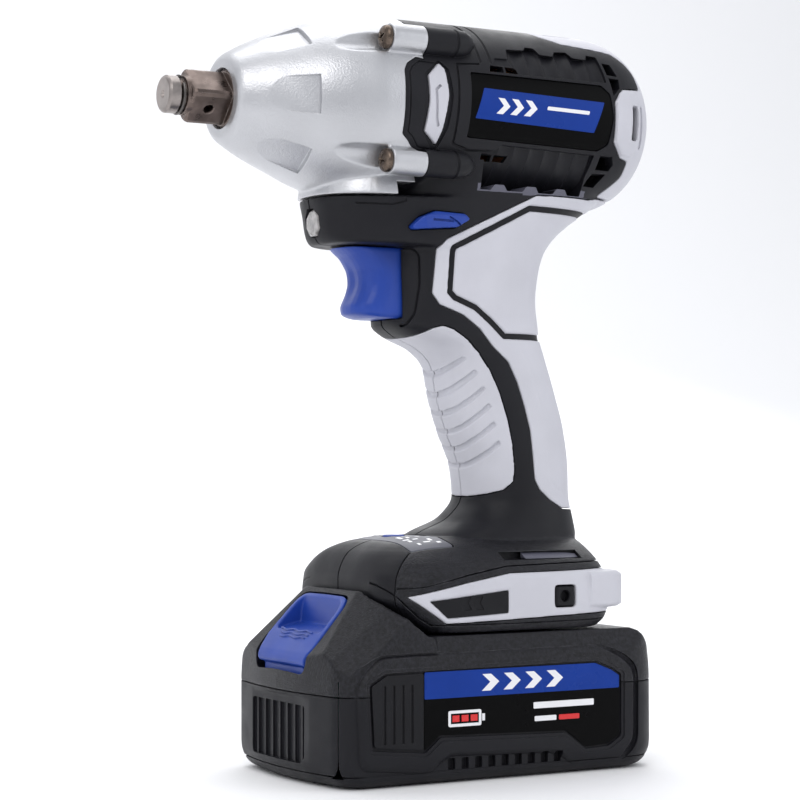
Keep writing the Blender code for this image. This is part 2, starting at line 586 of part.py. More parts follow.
    rotor = turned([(-52, 0), (-52, 12.4), (-26, 12.4), (-26, 4.2), (-13, 4.2), (-13, 0)], 24)
    sun = plate([(y, z + AXIS_Z) for y, z in gear_outline(SUN_T, MODULE)], -13.5, -1.3)
    fuse(rotor, sun)
    fuse(rotor, turned([(-72.5, 0), (-72.5, 3.9), (-51, 3.9), (-51, 0)], 16))
    finish(rotor, "rotor", "bright", (-40, 0, AXIS_Z))
    fan = turned([(-57, 4.2), (-57, 21), (-58.2, 21), (-58.6, 7), (-64, 6.4), (-64, 4.2)], 24)
    for k in range(5):
        a = 2 * math.pi * k / 5
        blade = block(-63, -58, 7.4, 20.6, AXIS_Z - 0.6, AXIS_Z + 0.6)
        blade.data.transform(Matrix.Translation((0, 0, AXIS_Z * 0.001)) @ Matrix.Rotation(a, 4, "X") @ Matrix.Translation((0, 0, -AXIS_Z * 0.001)))
        fuse(fan, blade)
    finish(fan, "fan", "black", (-60, 0, AXIS_Z))
    stator = turned([(-53, 13), (-53, 26.2), (-25, 26.2), (-25, 13)], 18)
    for k in range(6):
        a = 2 * math.pi * (k + 0.5) / 6
        slot = block(-60, -20, 15.5, 22.5, AXIS_Z - 3.2, AXIS_Z + 3.2)
        fuse(slot, block(-60, -20, 12, 16, AXIS_Z - 0.9, AXIS_Z + 0.9))
        slot.data.transform(Matrix.Translation((0, 0, AXIS_Z * 0.001)) @ Matrix.Rotation(a, 4, "X") @ Matrix.Translation((0, 0, -AXIS_Z * 0.001)))
        cut(stator, slot)
    finish(stator, "motor_stator", "copper")
    finish(turned([(-66.8, 4.2), (-66.8, 11.0), (-70.8, 11.0), (-70.8, 4.2)], 24), "rear_bearing", "bright")

    # ------------------------------------------------ shells
    finish(make_case(), "hammer_case", "silver")
    SOLVERS.reverse()    # the shells have many shallow cuts, which the second solver keeps closed
    body = make_housing()
    for x, z, depth in SCREWS_RIGHT:
        cut(body, rod((x, -60, z), (x, -depth + 3.3, z), 3.3, 10))
        cut(body, rod((x, -60, z), (x, -4, z), 1.8, 8))
    finish(half(body, 1, "left_housing"), "left_housing", "black")
    finish(half(body, -1, "right_housing"), "right_housing", "black")
    drop(body)
    SOLVERS.reverse()
    for k, (x, z, depth) in enumerate(SCREWS_RIGHT):
        screw = rod((x, -depth + 0.2, z), (x, -depth + 2.8, z), 2.9, 12)
        fuse(screw, rod((x, -depth + 1, z), (x, -4.6, z), 1.4, 8))
        cut(screw, block(x - 1.8, x + 1.8, -depth - 1, -depth + 1.2, z - 0.35, z + 0.35))
        finish(screw, f"housing_screw_{k + 1}", "bronze")
    for k, (y, dz) in enumerate(((SCREW_Y, SCREW_DZ), (SCREW_Y, -SCREW_DZ), (-SCREW_Y, SCREW_DZ), (-SCREW_Y, -SCREW_DZ))):
        z = AXIS_Z + dz
        screw = turned([(23.1, 0), (22.9, 2.2), (20.9, 3.8), (20.9, 1.65), (-5.6, 1.65), (-5.6, 0)], 10, centre=(y, z))
        cut(screw, block(21.8, 24, y - 2.0, y + 2.0, z - 0.4, z + 0.4))
        finish(screw, f"case_screw_{k + 1}", "bronze")

    def side_layer(outline, inner, outer, name, key, low=0.15):
        piece = meet(skin(outer, inner), prism(outline, low, 60))
        finish(piece, name + "_left", key)
        finish(mirrored(piece, name + "_right"), name + "_right", key)
        return piece

    side_layer(REAR_TRIM, SKIN, 0, "rear_trim", "grey")
    side_layer(FRONT_GRIP, SKIN, 0, "front_grip", "grey")
    side_layer(NAMEPLATE, 1.8, 0.7, "nameplate", "label")
    side_layer(ACCENT, 1.4, 0, "accent", "grey")
    trim = meet(skin(0, 1.7), prism(FOOT_TRIM, 0.15, 60))
    x, z = NUT_AT
    cut(trim, block(x - 4.1, x + 4.1, 30, 50, z - 3.6, z + 3.6))
    finish(trim, "foot_trim_left", "grey")
    finish(mirrored(trim, "foot_trim_right"), "foot_trim_right", "grey")
    cap = meet(skin(0, 1.8), prism(REAR_CAP, -60, 60))
    for low, high in ((12, 45), (-45, -12)):
        cut(cap, block(-75, -71.2, low, high, 205.5, 217))
    finish(cap, "rear_cap", "grey")
    nut = block(x - 3.8, x + 3.8, 34, 37.2, z - 3.3, z + 3.3, bevel=0.5)
    cut(nut, rod((x, 34.9, z), (x, 40, z), 1.7, 8, turn=0.2))
    finish(nut, "hook_nut_left", "steel")
    finish(mirrored(nut, "hook_nut_right"), "hook_nut_right", "steel")

    # ------------------------------------------------ lamp, controls and electrics
    lens = plate([(4.55 * math.cos(a), 175.6 + 4.55 * math.sin(a)) for a in EIGHTHS], 31.8, 34.3)
    finish(lens, "led_lens", "clear")
    led = block(27.6, 29.2, -4.6, 4.6, 173.6, 178.6)
    fuse(led, block(29, 31.2, -1.6, 1.6, 174.1, 177.3))
    finish(led, "led_board", "board")
    panel = meet(skin(0, 1.7), plan(PANEL_AREA, 66, 80))
    n = Vector((0, 0, 1))
    mid = Vector((KEY_AT[0], 0, KEY_AT[1]))
    cut(panel, rod(mid - n * 4, mid + n * 4, 4.0, 16))
    finish(panel, "control_panel", "panel")
    button = rod(mid - n * 1.2, mid + n * 0.5, 3.6, 16)
    fuse(button, rod(mid - n * 3, mid - n, 1.3, 8))
    finish(button, "mode_button", "blue", mid)
    switch = block(-34, -8, -11, 11, 147, 169, bevel=1)
    cut(switch, block(-19, -7, -3, 3, 155, 161))
    finish(switch, "switch_body", "label")
    finish(block(-50, -29, -9, 9, 100, 102.2), "controller_board", "board")
    terminal = block(-53.7, -46.9, -12.3, 12.3, 49.4, 57.6)
    for y in (-8, 0, 8):
        fuse(terminal, block(-47.5, -31, y - 0.4, y + 0.4, 49.9, 52.7))
    finish(terminal, "terminal_block", "nylon")

    rows = [(145.8, 19.6, 8.6), (146.8, 21.6, 9.6), (149, 22.2, 10), (152, 21, 10), (155, 19.9, 10), (158, 19.7, 10),
            (161, 20.4, 10), (164, 22, 10), (166.6, 24.6, 10), (168.2, 26.4, 9.6)]
    rings = []
    for z, xf, w in rows:
        right = [(2, w - 0.4), (xf - 8, w), (xf - 4, w - 1.0), (xf - 1.2, w - 4), (xf, w - 8)]
        rings.append([(x_, y_, z) for x_, y_ in right] + [(x_, -y_, z) for x_, y_ in reversed(right)])
    trigger = loft(rings)
    fuse(trigger, block(-12, 3, -2.6, 2.6, 155.4, 160.6))
    finish(trigger, "trigger", "blue", (2, 0, 158))
    finish(coil(-7.6, 1.7, 4.6, 0.45, 3, "tmp", sides=4, per=8, centre=(0.0, 158.0)), "trigger_spring", "bright", (-7.6, 0, 158))

    selector = prism(SELECTOR, -24, 24)
    cut(selector, block(-20, 20, -18.5, 18.5, 177.2, 182))
    cut(selector, block(-20, 20, -18.5, 18.5, 170, 174.6))
    for side in (1, -1):
        cut(selector, block(-12, -7, -18.5, 18.5, 170, 182) if side > 0 else block(6.5, 12, -18.5, 18.5, 170, 182))
    finish(selector, "direction_selector", "blue", (0, 0, 176))

    make_battery()


RING_PHASE = math.pi / RING_T


def pack_ring(z, d, cut_front=0.0):
    """A level outline of the battery, moved in by d: bowed front, round corners."""
    w = PACK_W + 0.2 - d
    side = [(47.5 - d, 0.0), (47.0 - d, 12 * w / 38.2), (45.8 - d, 22 * w / 38.2)]
    for k in range(4):
        a = math.radians(8 + 82 * k / 3)
        r = 9 - d * 0.4
        side.append((44.6 - d - r + r * math.cos(a), w - r + r * math.sin(a)))
    for k in range(5):
        a = math.radians(90 + 90 * k / 4)
        r = 13 - d * 0.4
        side.append((-76 + d + r + r * math.cos(a), w - r + r * math.sin(a)))
    ring = [(x, y, z) for x, y in side] + [(x, -y, z) for x, y in reversed(side[1:])]
    return ring


def make_battery():
    outer = [(0, 7.0), (1.2, 3.2), (4.5, 1.0), (9, 0), (PART_Z - 0.15, 0)]
    inner = [(PART_Z - 0.15, 3.2), (9, 3.2), (3, 5.5)]
    lower = loft([pack_ring(z, d) for z, d in outer + inner])
    for low, high in ((36.5, 60), (-60, -36.5)):
        cut(lower, prism(offset(SIDE_PANEL, 0.2), low, high))
    for k in range(6):
        y = -15 + 6 * k
        cut(lower, block(46.2, 60, y - 2.2, y + 2.2, 9, 21))
    finish(lower, "battery_shell_lower", "black", (0, 0, DECK_Z))

    side = [(-78, PART_Z + 0.15), (-78, 33.5), (-73.8, 38.5), (-70, 42.4), (-64, DECK_Z), (12.7, DECK_Z), (17.1, 49), (22.4, 53.7),
            (25.9, 57.7), (26.4, 59), (29.9, 59.4), (47.8, 33.5), (52, PART_Z + 0.15)]
    upper = prism(side, -40, 40)
    meet(upper, loft([pack_ring(z, d) for z, d in ((PART_Z - 2, 0), (34, 0.1), (46, 1.4), (62, 2.4))]))
    for s in (1, -1):
        wedge = [(38.6 * s, 35.8), (35.3 * s, 46.2), (50 * s, 46.2), (50 * s, 35.8)]
        cut(upper, plate(wedge, -90, 11))
    fuse(upper, block(-46, 15, -13.4, 13.4, 45, 50))
    fuse(upper, block(-46, 24, -16.9, 16.9, 49.6, 52.9))
    room = [(-72.6, 20), (-72.6, 34), (-63, 42.3), (14, 42.3), (19, 46.5), (26.5, 46.5), (37.5, 33), (43, 33), (43, 20)]
    cut(upper, prism(room, -34.8, 34.8))
    for y in (-8, 0, 8):
        cut(upper, block(-50, -27, y - 0.9, y + 0.9, 38, 56))
    for low, high in ((36.5, 60), (-60, -36.5)):
        cut(upper, prism(offset(SIDE_PANEL, 0.2), low, high))
    cut(upper, prism([slope(1.6, -8.2), slope(1.6, 6), slope(29.6, 6), slope(29.6, -8.2)], -14.6, 14.6))
    finish(upper, "battery_shell_upper", "black", (0, 0, DECK_Z))

    latch = prism([slope(2.2, -7), slope(2.2, 0.2), slope(21.6, 0.9), slope(23.4, -0.8), slope(23.6, -3.2), slope(26.3, -3.2), slope(26.3, -7)], -14.2, 14.2)
    cut(latch, prism([slope(5.6, -4.8), slope(5.6, 5), slope(17.5, 5), slope(14.5, -4.8)], -10.8, 10.8))
    for low, high in ((11.6, 20), (-20, -11.6)):
        cut(latch, prism([slope(23.5, -9), slope(23.5, 2), slope(30, 2), slope(30, -9)], low, high))
    finish(latch, "battery_latch", "blue", slope3(2.2, 0))

    # ten cells in two rows, welded up in their holder as one block
    r, step = 9.5, 18.8
    xs = [-52.6 + step * k for k in range(5)]
    outline = []
    for x in xs:
        outline += [(x + r * math.cos(a), 13 + r * math.sin(a)) for a in (math.radians(190 + 160 * k / 5) for k in range(6))]
    for x in reversed(xs):
        outline += [(x + r * math.cos(a), 31.2 + r * math.sin(a)) for a in (math.radians(10 + 160 * k / 5) for k in range(6))]
    finish(prism(outline, -32.5, 32.5), "battery_cells", "cell", (0, 0, DECK_Z))
    board = block(-49, 8, -22, 22, 40.95, 41.9)
    for y in (-8, 0, 8):
        fuse(board, block(-44, -30, y - 0.5, y + 0.5, 41.5, 49.3))
    finish(board, "battery_board", "board", (0, 0, DECK_Z))
    label = prism(LABEL, 36.8, 37.4)
    finish(label, "battery_label_left", "label")
    finish(mirrored(label, "battery_label_right"), "battery_label_right", "label")


def slope(s, h):
    """A point on the battery's front slope: s down from its top edge, h out from it."""
    top, foot = Vector((29.9, 59.4)), Vector((47.8, 33.5))
    along = (foot - top).normalized()
    out = Vector((-along.y, along.x))
    p = top + along * s + out * h
    return (p.x, p.y)


def slope3(s, h):
    x, z = slope(s, h)
    return (x, 0, z)


main()
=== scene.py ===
"""Looks for the cordless impact wrench: detailed shells, drive, trims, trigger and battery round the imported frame.

The frame is in metres; the lengths below are in millimetres and become metres when a mesh is made.
"""

import math

import bmesh
import bpy
import numpy as np
from mathutils import Matrix, Vector


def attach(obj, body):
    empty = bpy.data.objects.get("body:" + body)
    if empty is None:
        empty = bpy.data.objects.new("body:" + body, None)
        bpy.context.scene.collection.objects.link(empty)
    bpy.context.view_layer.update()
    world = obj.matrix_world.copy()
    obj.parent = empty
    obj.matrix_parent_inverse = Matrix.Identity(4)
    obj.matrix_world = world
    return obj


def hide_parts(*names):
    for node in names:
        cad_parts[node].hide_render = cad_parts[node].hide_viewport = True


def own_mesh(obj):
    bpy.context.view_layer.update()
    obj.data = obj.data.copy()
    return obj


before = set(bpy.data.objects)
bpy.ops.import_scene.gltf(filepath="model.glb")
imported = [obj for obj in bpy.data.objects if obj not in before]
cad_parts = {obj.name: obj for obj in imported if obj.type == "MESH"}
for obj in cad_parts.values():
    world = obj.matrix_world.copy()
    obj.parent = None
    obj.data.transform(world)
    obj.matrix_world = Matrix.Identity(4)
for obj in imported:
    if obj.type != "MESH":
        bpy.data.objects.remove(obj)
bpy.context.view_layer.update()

# ---------------------------------------------------------------- dimensions (mm)
AXIS_Z = 213.0
GAP = 0.3
SKIN = 1.6
SQUARE = 12.7
PACK_W = 38.0
DECK_Z = 45.6
PART_Z = 28.3
SCREW_Y, SCREW_DZ = 25.2, 19.3
NUT_AT = (-37.3, 56.7)


# ---------------------------------------------------------------- materials
class Surface:
    """A principled material with grain, mottling, softened edges, and lighter edges that are partly edge wear and
    partly a painted highlight, all procedural.
    """

    def __init__(self, name, base, rough, metal=0.0, mottle=(70.0, 0.10), rough_var=(90.0, 0.08), grain=None,
                 edge=0.00035, edge_wear_and_highlight=None, coat=None, specular=None, streaks=None, scratches=None, sheen=None, alpha=None):
        self.made = bpy.data.materials.new(name)
        self.made.use_nodes = True
        self.tree = self.made.node_tree
        self.shader = self.tree.nodes["Principled BSDF"]
        shader = self.shader
        shader.inputs["Metallic"].default_value = metal
        coord = self.tree.nodes.new("ShaderNodeTexCoord").outputs["Object"]
        # colour, with soft blotches
        low = self.noise(coord, mottle[0], 3.0)
        dark = tuple(c * (1 - mottle[1]) for c in base)
        light = tuple(min(1.0, c * (1 + mottle[1])) for c in base)
        colour = self.mix(self.spread(low, 0.35, 0.65), dark, light)
        normal = None
        if edge:
            bevel = self.tree.nodes.new("ShaderNodeBevel")
            bevel.samples = 4
            bevel.inputs["Radius"].default_value = edge
            normal = bevel.outputs["Normal"]
            # edges, where the softened normal turns away from the face, are mixed towards a lighter colour: partly edge
            # wear, partly a painted highlight along the edges
            if edge_wear_and_highlight:
                geometry = self.tree.nodes.new("ShaderNodeNewGeometry")
                dot = self.tree.nodes.new("ShaderNodeVectorMath")
                dot.operation = "DOT_PRODUCT"
                self.tree.links.new(geometry.outputs["Normal"], dot.inputs[0])
                self.tree.links.new(normal, dot.inputs[1])
                patchy = self.noise(coord, 260.0, 4.0)
                turned_away = self.spread(dot.outputs["Value"], 0.995, 0.80)
                amount = self.math("MULTIPLY", turned_away, self.spread(patchy, 0.35, 0.75))
                amount = self.math("MULTIPLY", amount, edge_wear_and_highlight[1])
                colour = self.mix(amount, colour, edge_wear_and_highlight[0])
        self.tree.links.new(colour, shader.inputs["Base Color"])
        # roughness
        if rough_var:
            second = self.noise(coord, rough_var[0], 4.0)
            self.tree.links.new(self.spread(second, 0.3, 0.7, rough - rough_var[1], rough + rough_var[1]), shader.inputs["Roughness"])
        else:
            shader.inputs["Roughness"].default_value = rough
        # grain
        for kind, scale, height in (grain or ()):
            if kind == "cells":
                node = self.tree.nodes.new("ShaderNodeTexVoronoi")
                node.feature = "SMOOTH_F1"
                node.inputs["Scale"].default_value = scale
                self.tree.links.new(coord, node.inputs["Vector"])
                field = node.outputs["Distance"]
            else:
                field = self.noise(coord, scale, 2.5)
            normal = self.bump(field, height, normal)
        if streaks:
            mapping = self.tree.nodes.new("ShaderNodeMapping")
            mapping.inputs["Scale"].default_value = streaks[0]
            self.tree.links.new(coord, mapping.inputs["Vector"])
            normal = self.bump(self.noise(mapping.outputs["Vector"], 1.0, 3.0), streaks[1], normal)
        if normal is not None:
            self.tree.links.new(normal, shader.inputs["Normal"])
        if coat:
            shader.inputs["Coat Weight"].default_value = coat[0]
            shader.inputs["Coat Roughness"].default_value = coat[1]
        if specular is not None:
            shader.inputs["Specular IOR Level"].default_value = specular
        if sheen is not None:
            shader.inputs["Sheen Weight"].default_value = sheen
            shader.inputs["Sheen Roughness"].default_value = 0.5

    def noise(self, vector, scale, detail):
        node = self.tree.nodes.new("ShaderNodeTexNoise")
        node.inputs["Scale"].default_value = scale
        node.inputs["Detail"].default_value = detail
        self.tree.links.new(vector, node.inputs["Vector"])
        return node.outputs["Fac"]

    def spread(self, value, a, b, to_a=0.0, to_b=1.0):
        node = self.tree.nodes.new("ShaderNodeMapRange")
        for key, v in zip(("From Min", "From Max", "To Min", "To Max"), (a, b, to_a, to_b)):
            node.inputs[key].default_value = v
        self.tree.links.new(value, node.inputs["Value"])
        return node.outputs["Result"]

    def math(self, kind, a, b):
        node = self.tree.nodes.new("ShaderNodeMath")
        node.operation = kind
        for k, v in enumerate((a, b)):
            if isinstance(v, (int, float)):
                node.inputs[k].default_value = v
            else:
                self.tree.links.new(v, node.inputs[k])
        return node.outputs[0]

    def mix(self, factor, a, b):
        node = self.tree.nodes.new("ShaderNodeMix")
        node.data_type = "RGBA"
        self.tree.links.new(factor, node.inputs[0])
        for socket, v in ((node.inputs[6], a), (node.inputs[7], b)):
            if isinstance(v, tuple):
                socket.default_value = (*v, 1)
            else:
                self.tree.links.new(v, socket)
        return node.outputs[2]

    def bump(self, field, height, normal):
        node = self.tree.nodes.new("ShaderNodeBump")
        node.inputs["Strength"].default_value = 1.0
        node.inputs["Distance"].default_value = height
        self.tree.links.new(field, node.inputs["Height"])
        if normal is not None:
            self.tree.links.new(normal, node.inputs["Normal"])
        return node.outputs["Normal"]


# the edge colours given below lighten each finish's edges: partly wear, partly a painted highlight along the edges
BLACK = Surface("moulded_black", (0.0085, 0.0085, 0.0112), 0.46, mottle=(45, 0.10), grain=[("noise", 3200.0, 0.00004)],
                edge_wear_and_highlight=((0.05, 0.05, 0.058), 0.35), specular=0.20).made
# the foot and pack top get a strong lighter edge colour: mostly a painted highlight along the rims and the diagonal
# ridge, with some wear
BLACK_FOOT = Surface("moulded_black_coarse", (0.0100, 0.0100, 0.0130), 0.42, mottle=(900, 0.45), rough_var=(2200, 0.12), grain=[("noise", 2300.0, 0.00020)],
                     edge_wear_and_highlight=((0.14, 0.14, 0.155), 0.8), specular=0.24).made
BLACK_SMOOTH = Surface("moulded_black_smooth", (0.0060, 0.0060, 0.0080), 0.44, mottle=(60, 0.10), grain=[("noise", 2600.0, 0.00003)],
                       edge_wear_and_highlight=((0.045, 0.045, 0.05), 0.3), specular=0.20).made
GREY = Surface("soft_grey", (0.525, 0.525, 0.570), 0.52, mottle=(60, 0.035), rough_var=(120, 0.05), grain=[("noise", 2300.0, 0.00005)],
               edge=0.0004, edge_wear_and_highlight=((0.74, 0.74, 0.77), 0.6), specular=0.35).made
SILVER = Surface("silver_paint", (0.52, 0.525, 0.545), 0.38, metal=0.78, mottle=(55, 0.03), rough_var=(160, 0.04),
                 grain=[("cells", 2100.0, 0.00005), ("noise", 900.0, 0.00005)], edge=0.0005, edge_wear_and_highlight=((0.80, 0.80, 0.82), 0.5)).made
BLUE = Surface("royal_blue", (0.014, 0.050, 0.310), 0.36, mottle=(60, 0.07), grain=[("noise", 2400.0, 0.00004)], edge=0.0005,
               edge_wear_and_highlight=((0.07, 0.15, 0.50), 0.4), specular=0.30).made
STEEL = Surface("drive_steel", (0.150, 0.118, 0.105), 0.36, metal=1.0, mottle=(180, 0.22), rough_var=(300, 0.12), edge=0.0004,
                edge_wear_and_highlight=((0.52, 0.47, 0.44), 0.7), streaks=((250, 2600, 2600), 0.00003)).made
STEEL_TIP = Surface("tip_steel", (0.30, 0.27, 0.255), 0.34, metal=1.0, mottle=(180, 0.18), edge=0.0003, edge_wear_and_highlight=((0.5, 0.48, 0.46), 0.4)).made
STEEL_DARK = Surface("dark_steel", (0.12, 0.11, 0.105), 0.4, metal=1.0, mottle=(200, 0.2), edge=0.0003, edge_wear_and_highlight=((0.4, 0.38, 0.36), 0.5)).made
BRIGHT = Surface("bright_steel", (0.55, 0.55, 0.57), 0.26, metal=1.0, mottle=(150, 0.06), edge=0.0003, streaks=((300, 2200, 2200), 0.00002)).made
SCREW = Surface("screw_bronze", (0.13, 0.10, 0.08), 0.30, metal=1.0, mottle=(400, 0.2), rough_var=(500, 0.1), edge=0.0003,
                edge_wear_and_highlight=((0.62, 0.5, 0.4), 0.6)).made
BRONZE = Surface("sintered_bronze", (0.5, 0.32, 0.14), 0.42, metal=1.0, grain=[("cells", 2600.0, 0.00006)]).made
COPPER = Surface("wound_copper", (0.58, 0.26, 0.12), 0.4, metal=1.0, streaks=((200, 3000, 3000), 0.0001)).made
LABEL = Surface("label_black", (0.0012, 0.0012, 0.0014), 0.30, mottle=(80, 0.1), rough_var=(60, 0.04), edge=0.0, specular=0.06, grain=[("noise", 500.0, 0.00001)]).made
LABEL_BLUE = Surface("label_blue", (0.006, 0.036, 0.250), 0.28, mottle=(80, 0.04), rough_var=(60, 0.04), edge=0.0, specular=0.12).made
LABEL_WHITE = Surface("label_white", (0.78, 0.78, 0.80), 0.30, mottle=(80, 0.02), rough_var=(60, 0.04), edge=0.0).made
LABEL_RED = Surface("label_red", (0.62, 0.012, 0.014), 0.24, mottle=(80, 0.03), rough_var=(60, 0.04), edge=0.0).made
# lighter lavender grey: on the band of teeth over the rear trim it is a painted highlight where the ledge faces up to
# the light; the bar in the foot's slot uses it as its grey
TEETH_HIGHLIGHT_AND_BAR = Surface("teeth_highlight_and_bar_grey", (0.085, 0.085, 0.115), 0.52, mottle=(60, 0.08), grain=[("cells", 1600.0, 0.00008)], edge_wear_and_highlight=((0.16, 0.16, 0.19), 0.3)).made
MEMBRANE = Surface("membrane_grey", (0.13, 0.133, 0.155), 0.45, mottle=(160, 0.06), rough_var=(100, 0.05), edge=0.0003, grain=[("noise", 1400.0, 0.00003)], specular=0.12).made
BOARD = Surface("circuit_board", (0.02, 0.16, 0.06), 0.4, mottle=(500, 0.3), edge=0.0003).made
NYLON = Surface("filled_nylon", (0.5, 0.48, 0.42), 0.55, grain=[("noise", 2000.0, 0.00006)]).made
CELL = Surface("cell_wrap", (0.05, 0.26, 0.21), 0.35, mottle=(150, 0.08), grain=[("noise", 700.0, 0.00004)]).made
LENS = Surface("lamp_lens", (0.50, 0.48, 0.47), 0.14, mottle=(420, 0.35), rough_var=(300, 0.08), edge=0.0004, grain=[("cells", 700.0, 0.00015)], coat=(0.8, 0.05))
LENS.shader.inputs["Transmission Weight"].default_value = 0.45
LENS = LENS.made
LAMP = Surface("lamp_phosphor", (0.62, 0.58, 0.42), 0.35, mottle=(900, 0.2), edge=0.0002).made


# ---------------------------------------------------------------- modelling helpers
def from_bmesh(name, bm):
    bmesh.ops.recalc_face_normals(bm, faces=bm.faces)
    mesh = bpy.data.meshes.new(name)
    bmesh.ops.scale(bm, vec=(0.001,) * 3, verts=bm.verts)
    bm.to_mesh(mesh)
    bm.free()
    obj = bpy.data.objects.new(name, mesh)
    bpy.context.scene.collection.objects.link(obj)
    return obj


def loft(rings, close=False):
    bm = bmesh.new()
    loops = [[bm.verts.new(p) for p in ring] for ring in rings]
    pairs = list(zip(loops, loops[1:]))
    if close:
        pairs.append((loops[-1], loops[0]))
    for a, b in pairs:
        for i in range(len(a)):
            j = (i + 1) % len(a)
            bm.faces.new((a[i], a[j], b[j], b[i]))
    if not close:
        bm.faces.new(loops[0])
        bm.faces.new(loops[-1])
    return from_bmesh("tmp", bm)


def turned(profile, segs=64, centre=(0.0, AXIS_Z), turn=0.0):
    bm = bmesh.new()
    cy, cz = centre
    loops = []
    for x, r in profile:
        if r < 1e-6:
            loops.append([bm.verts.new((x, cy, cz))])
        else:
            loops.append([bm.verts.new((x, cy + r * math.cos(turn + 2 * math.pi * k / segs), cz + r * math.sin(turn + 2 * math.pi * k / segs)))
                          for k in range(segs)])
    n = len(loops)
    for i in range(n):
        a, b = loops[i], loops[(i + 1) % n]
        if len(a) == 1 and len(b) == 1:
            continue
        for k in range(segs):
            j = (k + 1) % segs
            if len(a) == 1:
                bm.faces.new((a[0], b[j], b[k]))
            elif len(b) == 1:
                bm.faces.new((a[k], a[j], b[0]))
            else:
                bm.faces.new((a[k], a[j], b[j], b[k]))
    return from_bmesh("tmp", bm)


def rod(p, q, r, segs=32, r2=None, turn=0.0):
    p, q = Vector(p), Vector(q)
    d = (q - p).normalized()
    u = d.orthogonal().normalized() if abs(d.x) < 0.99 else Vector((0, 1, 0))
    v = d.cross(u)
    rings = []
    for c, radius in ((p, r), (q, r if r2 is None else r2)):
        rings.append([c + radius * (u * math.cos(turn + 2 * math.pi * k / segs) + v * math.sin(turn + 2 * math.pi * k / segs)) for k in range(segs)])
    return loft(rings)


def block(x0, x1, y0, y1, z0, z1, bevel=0.0, segments=3):
    bm = bmesh.new()
    bmesh.ops.create_cube(bm, size=1.0)
    bmesh.ops.scale(bm, vec=(x1 - x0, y1 - y0, z1 - z0), verts=bm.verts)
    bmesh.ops.translate(bm, vec=((x0 + x1) / 2, (y0 + y1) / 2, (z0 + z1) / 2), verts=bm.verts)
    if bevel:
        bmesh.ops.bevel(bm, geom=bm.edges[:], offset=bevel, segments=segments, affect="EDGES", profile=0.5)
    return from_bmesh("tmp", bm)


def prism(outline, y0, y1):
    return loft([[(x, y, z) for x, z in outline] for y in (y0, y1)])


def plan(outline, z0, z1):
    return loft([[(x, y, z) for x, y in outline] for z in (z0, z1)])


def plate(outline, x0, x1):
    return loft([[(x, y, z) for y, z in outline] for x in (x0, x1)])


def join(a, b, operation, keep=False):
    """Applies a Boolean to a and removes b unless keep is set."""
    modifier = a.modifiers.new("cut", "BOOLEAN")
    modifier.operation = operation
    modifier.solver = "MANIFOLD"
    modifier.object = b
    graph = bpy.context.evaluated_depsgraph_get()
    mesh = bpy.data.meshes.new_from_object(a.evaluated_get(graph))
    a.modifiers.clear()
    if not len(mesh.polygons):
        print("EMPTY RESULT", operation)
        modifier = a.modifiers.new("cut", "BOOLEAN")
        modifier.operation = operation
        modifier.solver = "EXACT"
        modifier.object = b
        graph = bpy.context.evaluated_depsgraph_get()
        mesh = bpy.data.meshes.new_from_object(a.evaluated_get(graph))
        a.modifiers.clear()
    old = a.data
    a.data = mesh
    bpy.data.meshes.remove(old)
    if not keep:
        drop(b)
    return a


def cut(a, *others):
    for b in others:
        join(a, b, "DIFFERENCE")
    return a


def fuse(a, *others):
    for b in others:
        join(a, b, "UNION")
    return a


def meet(a, b, keep=False):
    return join(a, b, "INTERSECT", keep)


def merged(objs):
    """Objects that don't touch each other, as one cutter."""
    bm = bmesh.new()
    for o in objs:
        bm.from_mesh(o.data)
    mesh = bpy.data.meshes.new("tmp")
    bm.to_mesh(mesh)
    bm.free()
    for o in objs:
        drop(o)
    made = bpy.data.objects.new("tmp", mesh)
    bpy.context.scene.collection.objects.link(made)
    return made


def copy_of(obj):
    made = obj.copy()
    made.data = obj.data.copy()
    bpy.context.scene.collection.objects.link(made)
    return made


def mirrored(obj):
    made = copy_of(obj)
    bm = bmesh.new()
    bm.from_mesh(made.data)
    bmesh.ops.scale(bm, vec=(1, -1, 1), verts=bm.verts)
    bmesh.ops.reverse_faces(bm, faces=bm.faces)
    bm.to_mesh(made.data)
    bm.free()
    return made


def drop(*objs):
    for obj in objs:
        data = obj.data
        bpy.data.objects.remove(obj, do_unlink=True)
        if data and data.users == 0:
            bpy.data.meshes.remove(data)


def applied(obj):
    graph = bpy.context.evaluated_depsgraph_get()
    mesh = bpy.data.meshes.new_from_object(obj.evaluated_get(graph))
    obj.modifiers.clear()
    old = obj.data
    obj.data = mesh
    bpy.data.meshes.remove(old)
    return obj


def moulded(obj, voxel=0.5, rounds=4):
    """Remeshes a solid evenly and relaxes it, which rounds its edges as a mould does."""
    modifier = obj.modifiers.new("remesh", "REMESH")
    modifier.mode = "VOXEL"
    modifier.voxel_size = voxel * 0.001
    modifier = obj.modifiers.new("relax", "SMOOTH")
    modifier.factor = 0.5
    modifier.iterations = rounds
    return applied(obj)


def largest_only(obj, keep=1):
    """Drops the specks a Boolean can leave beside the piece."""
    bm = bmesh.new()
    bm.from_mesh(obj.data)
    bm.faces.ensure_lookup_table()
    seen = np.zeros(len(bm.faces), bool)
    groups = []
    for start in bm.faces:
        if seen[start.index]:
            continue
        seen[start.index] = True
        stack, group = [start], []
        while stack:
            face = stack.pop()
            group.append(face)
            for edge in face.edges:
                for other in edge.link_faces:
                    if not seen[other.index]:
                        seen[other.index] = True
                        stack.append(other)
        groups.append(group)
    groups.sort(key=len)
    for group in groups[:-keep]:
        bmesh.ops.delete(bm, geom=group, context="FACES")
    bm.to_mesh(obj.data)
    bm.free()
    return obj


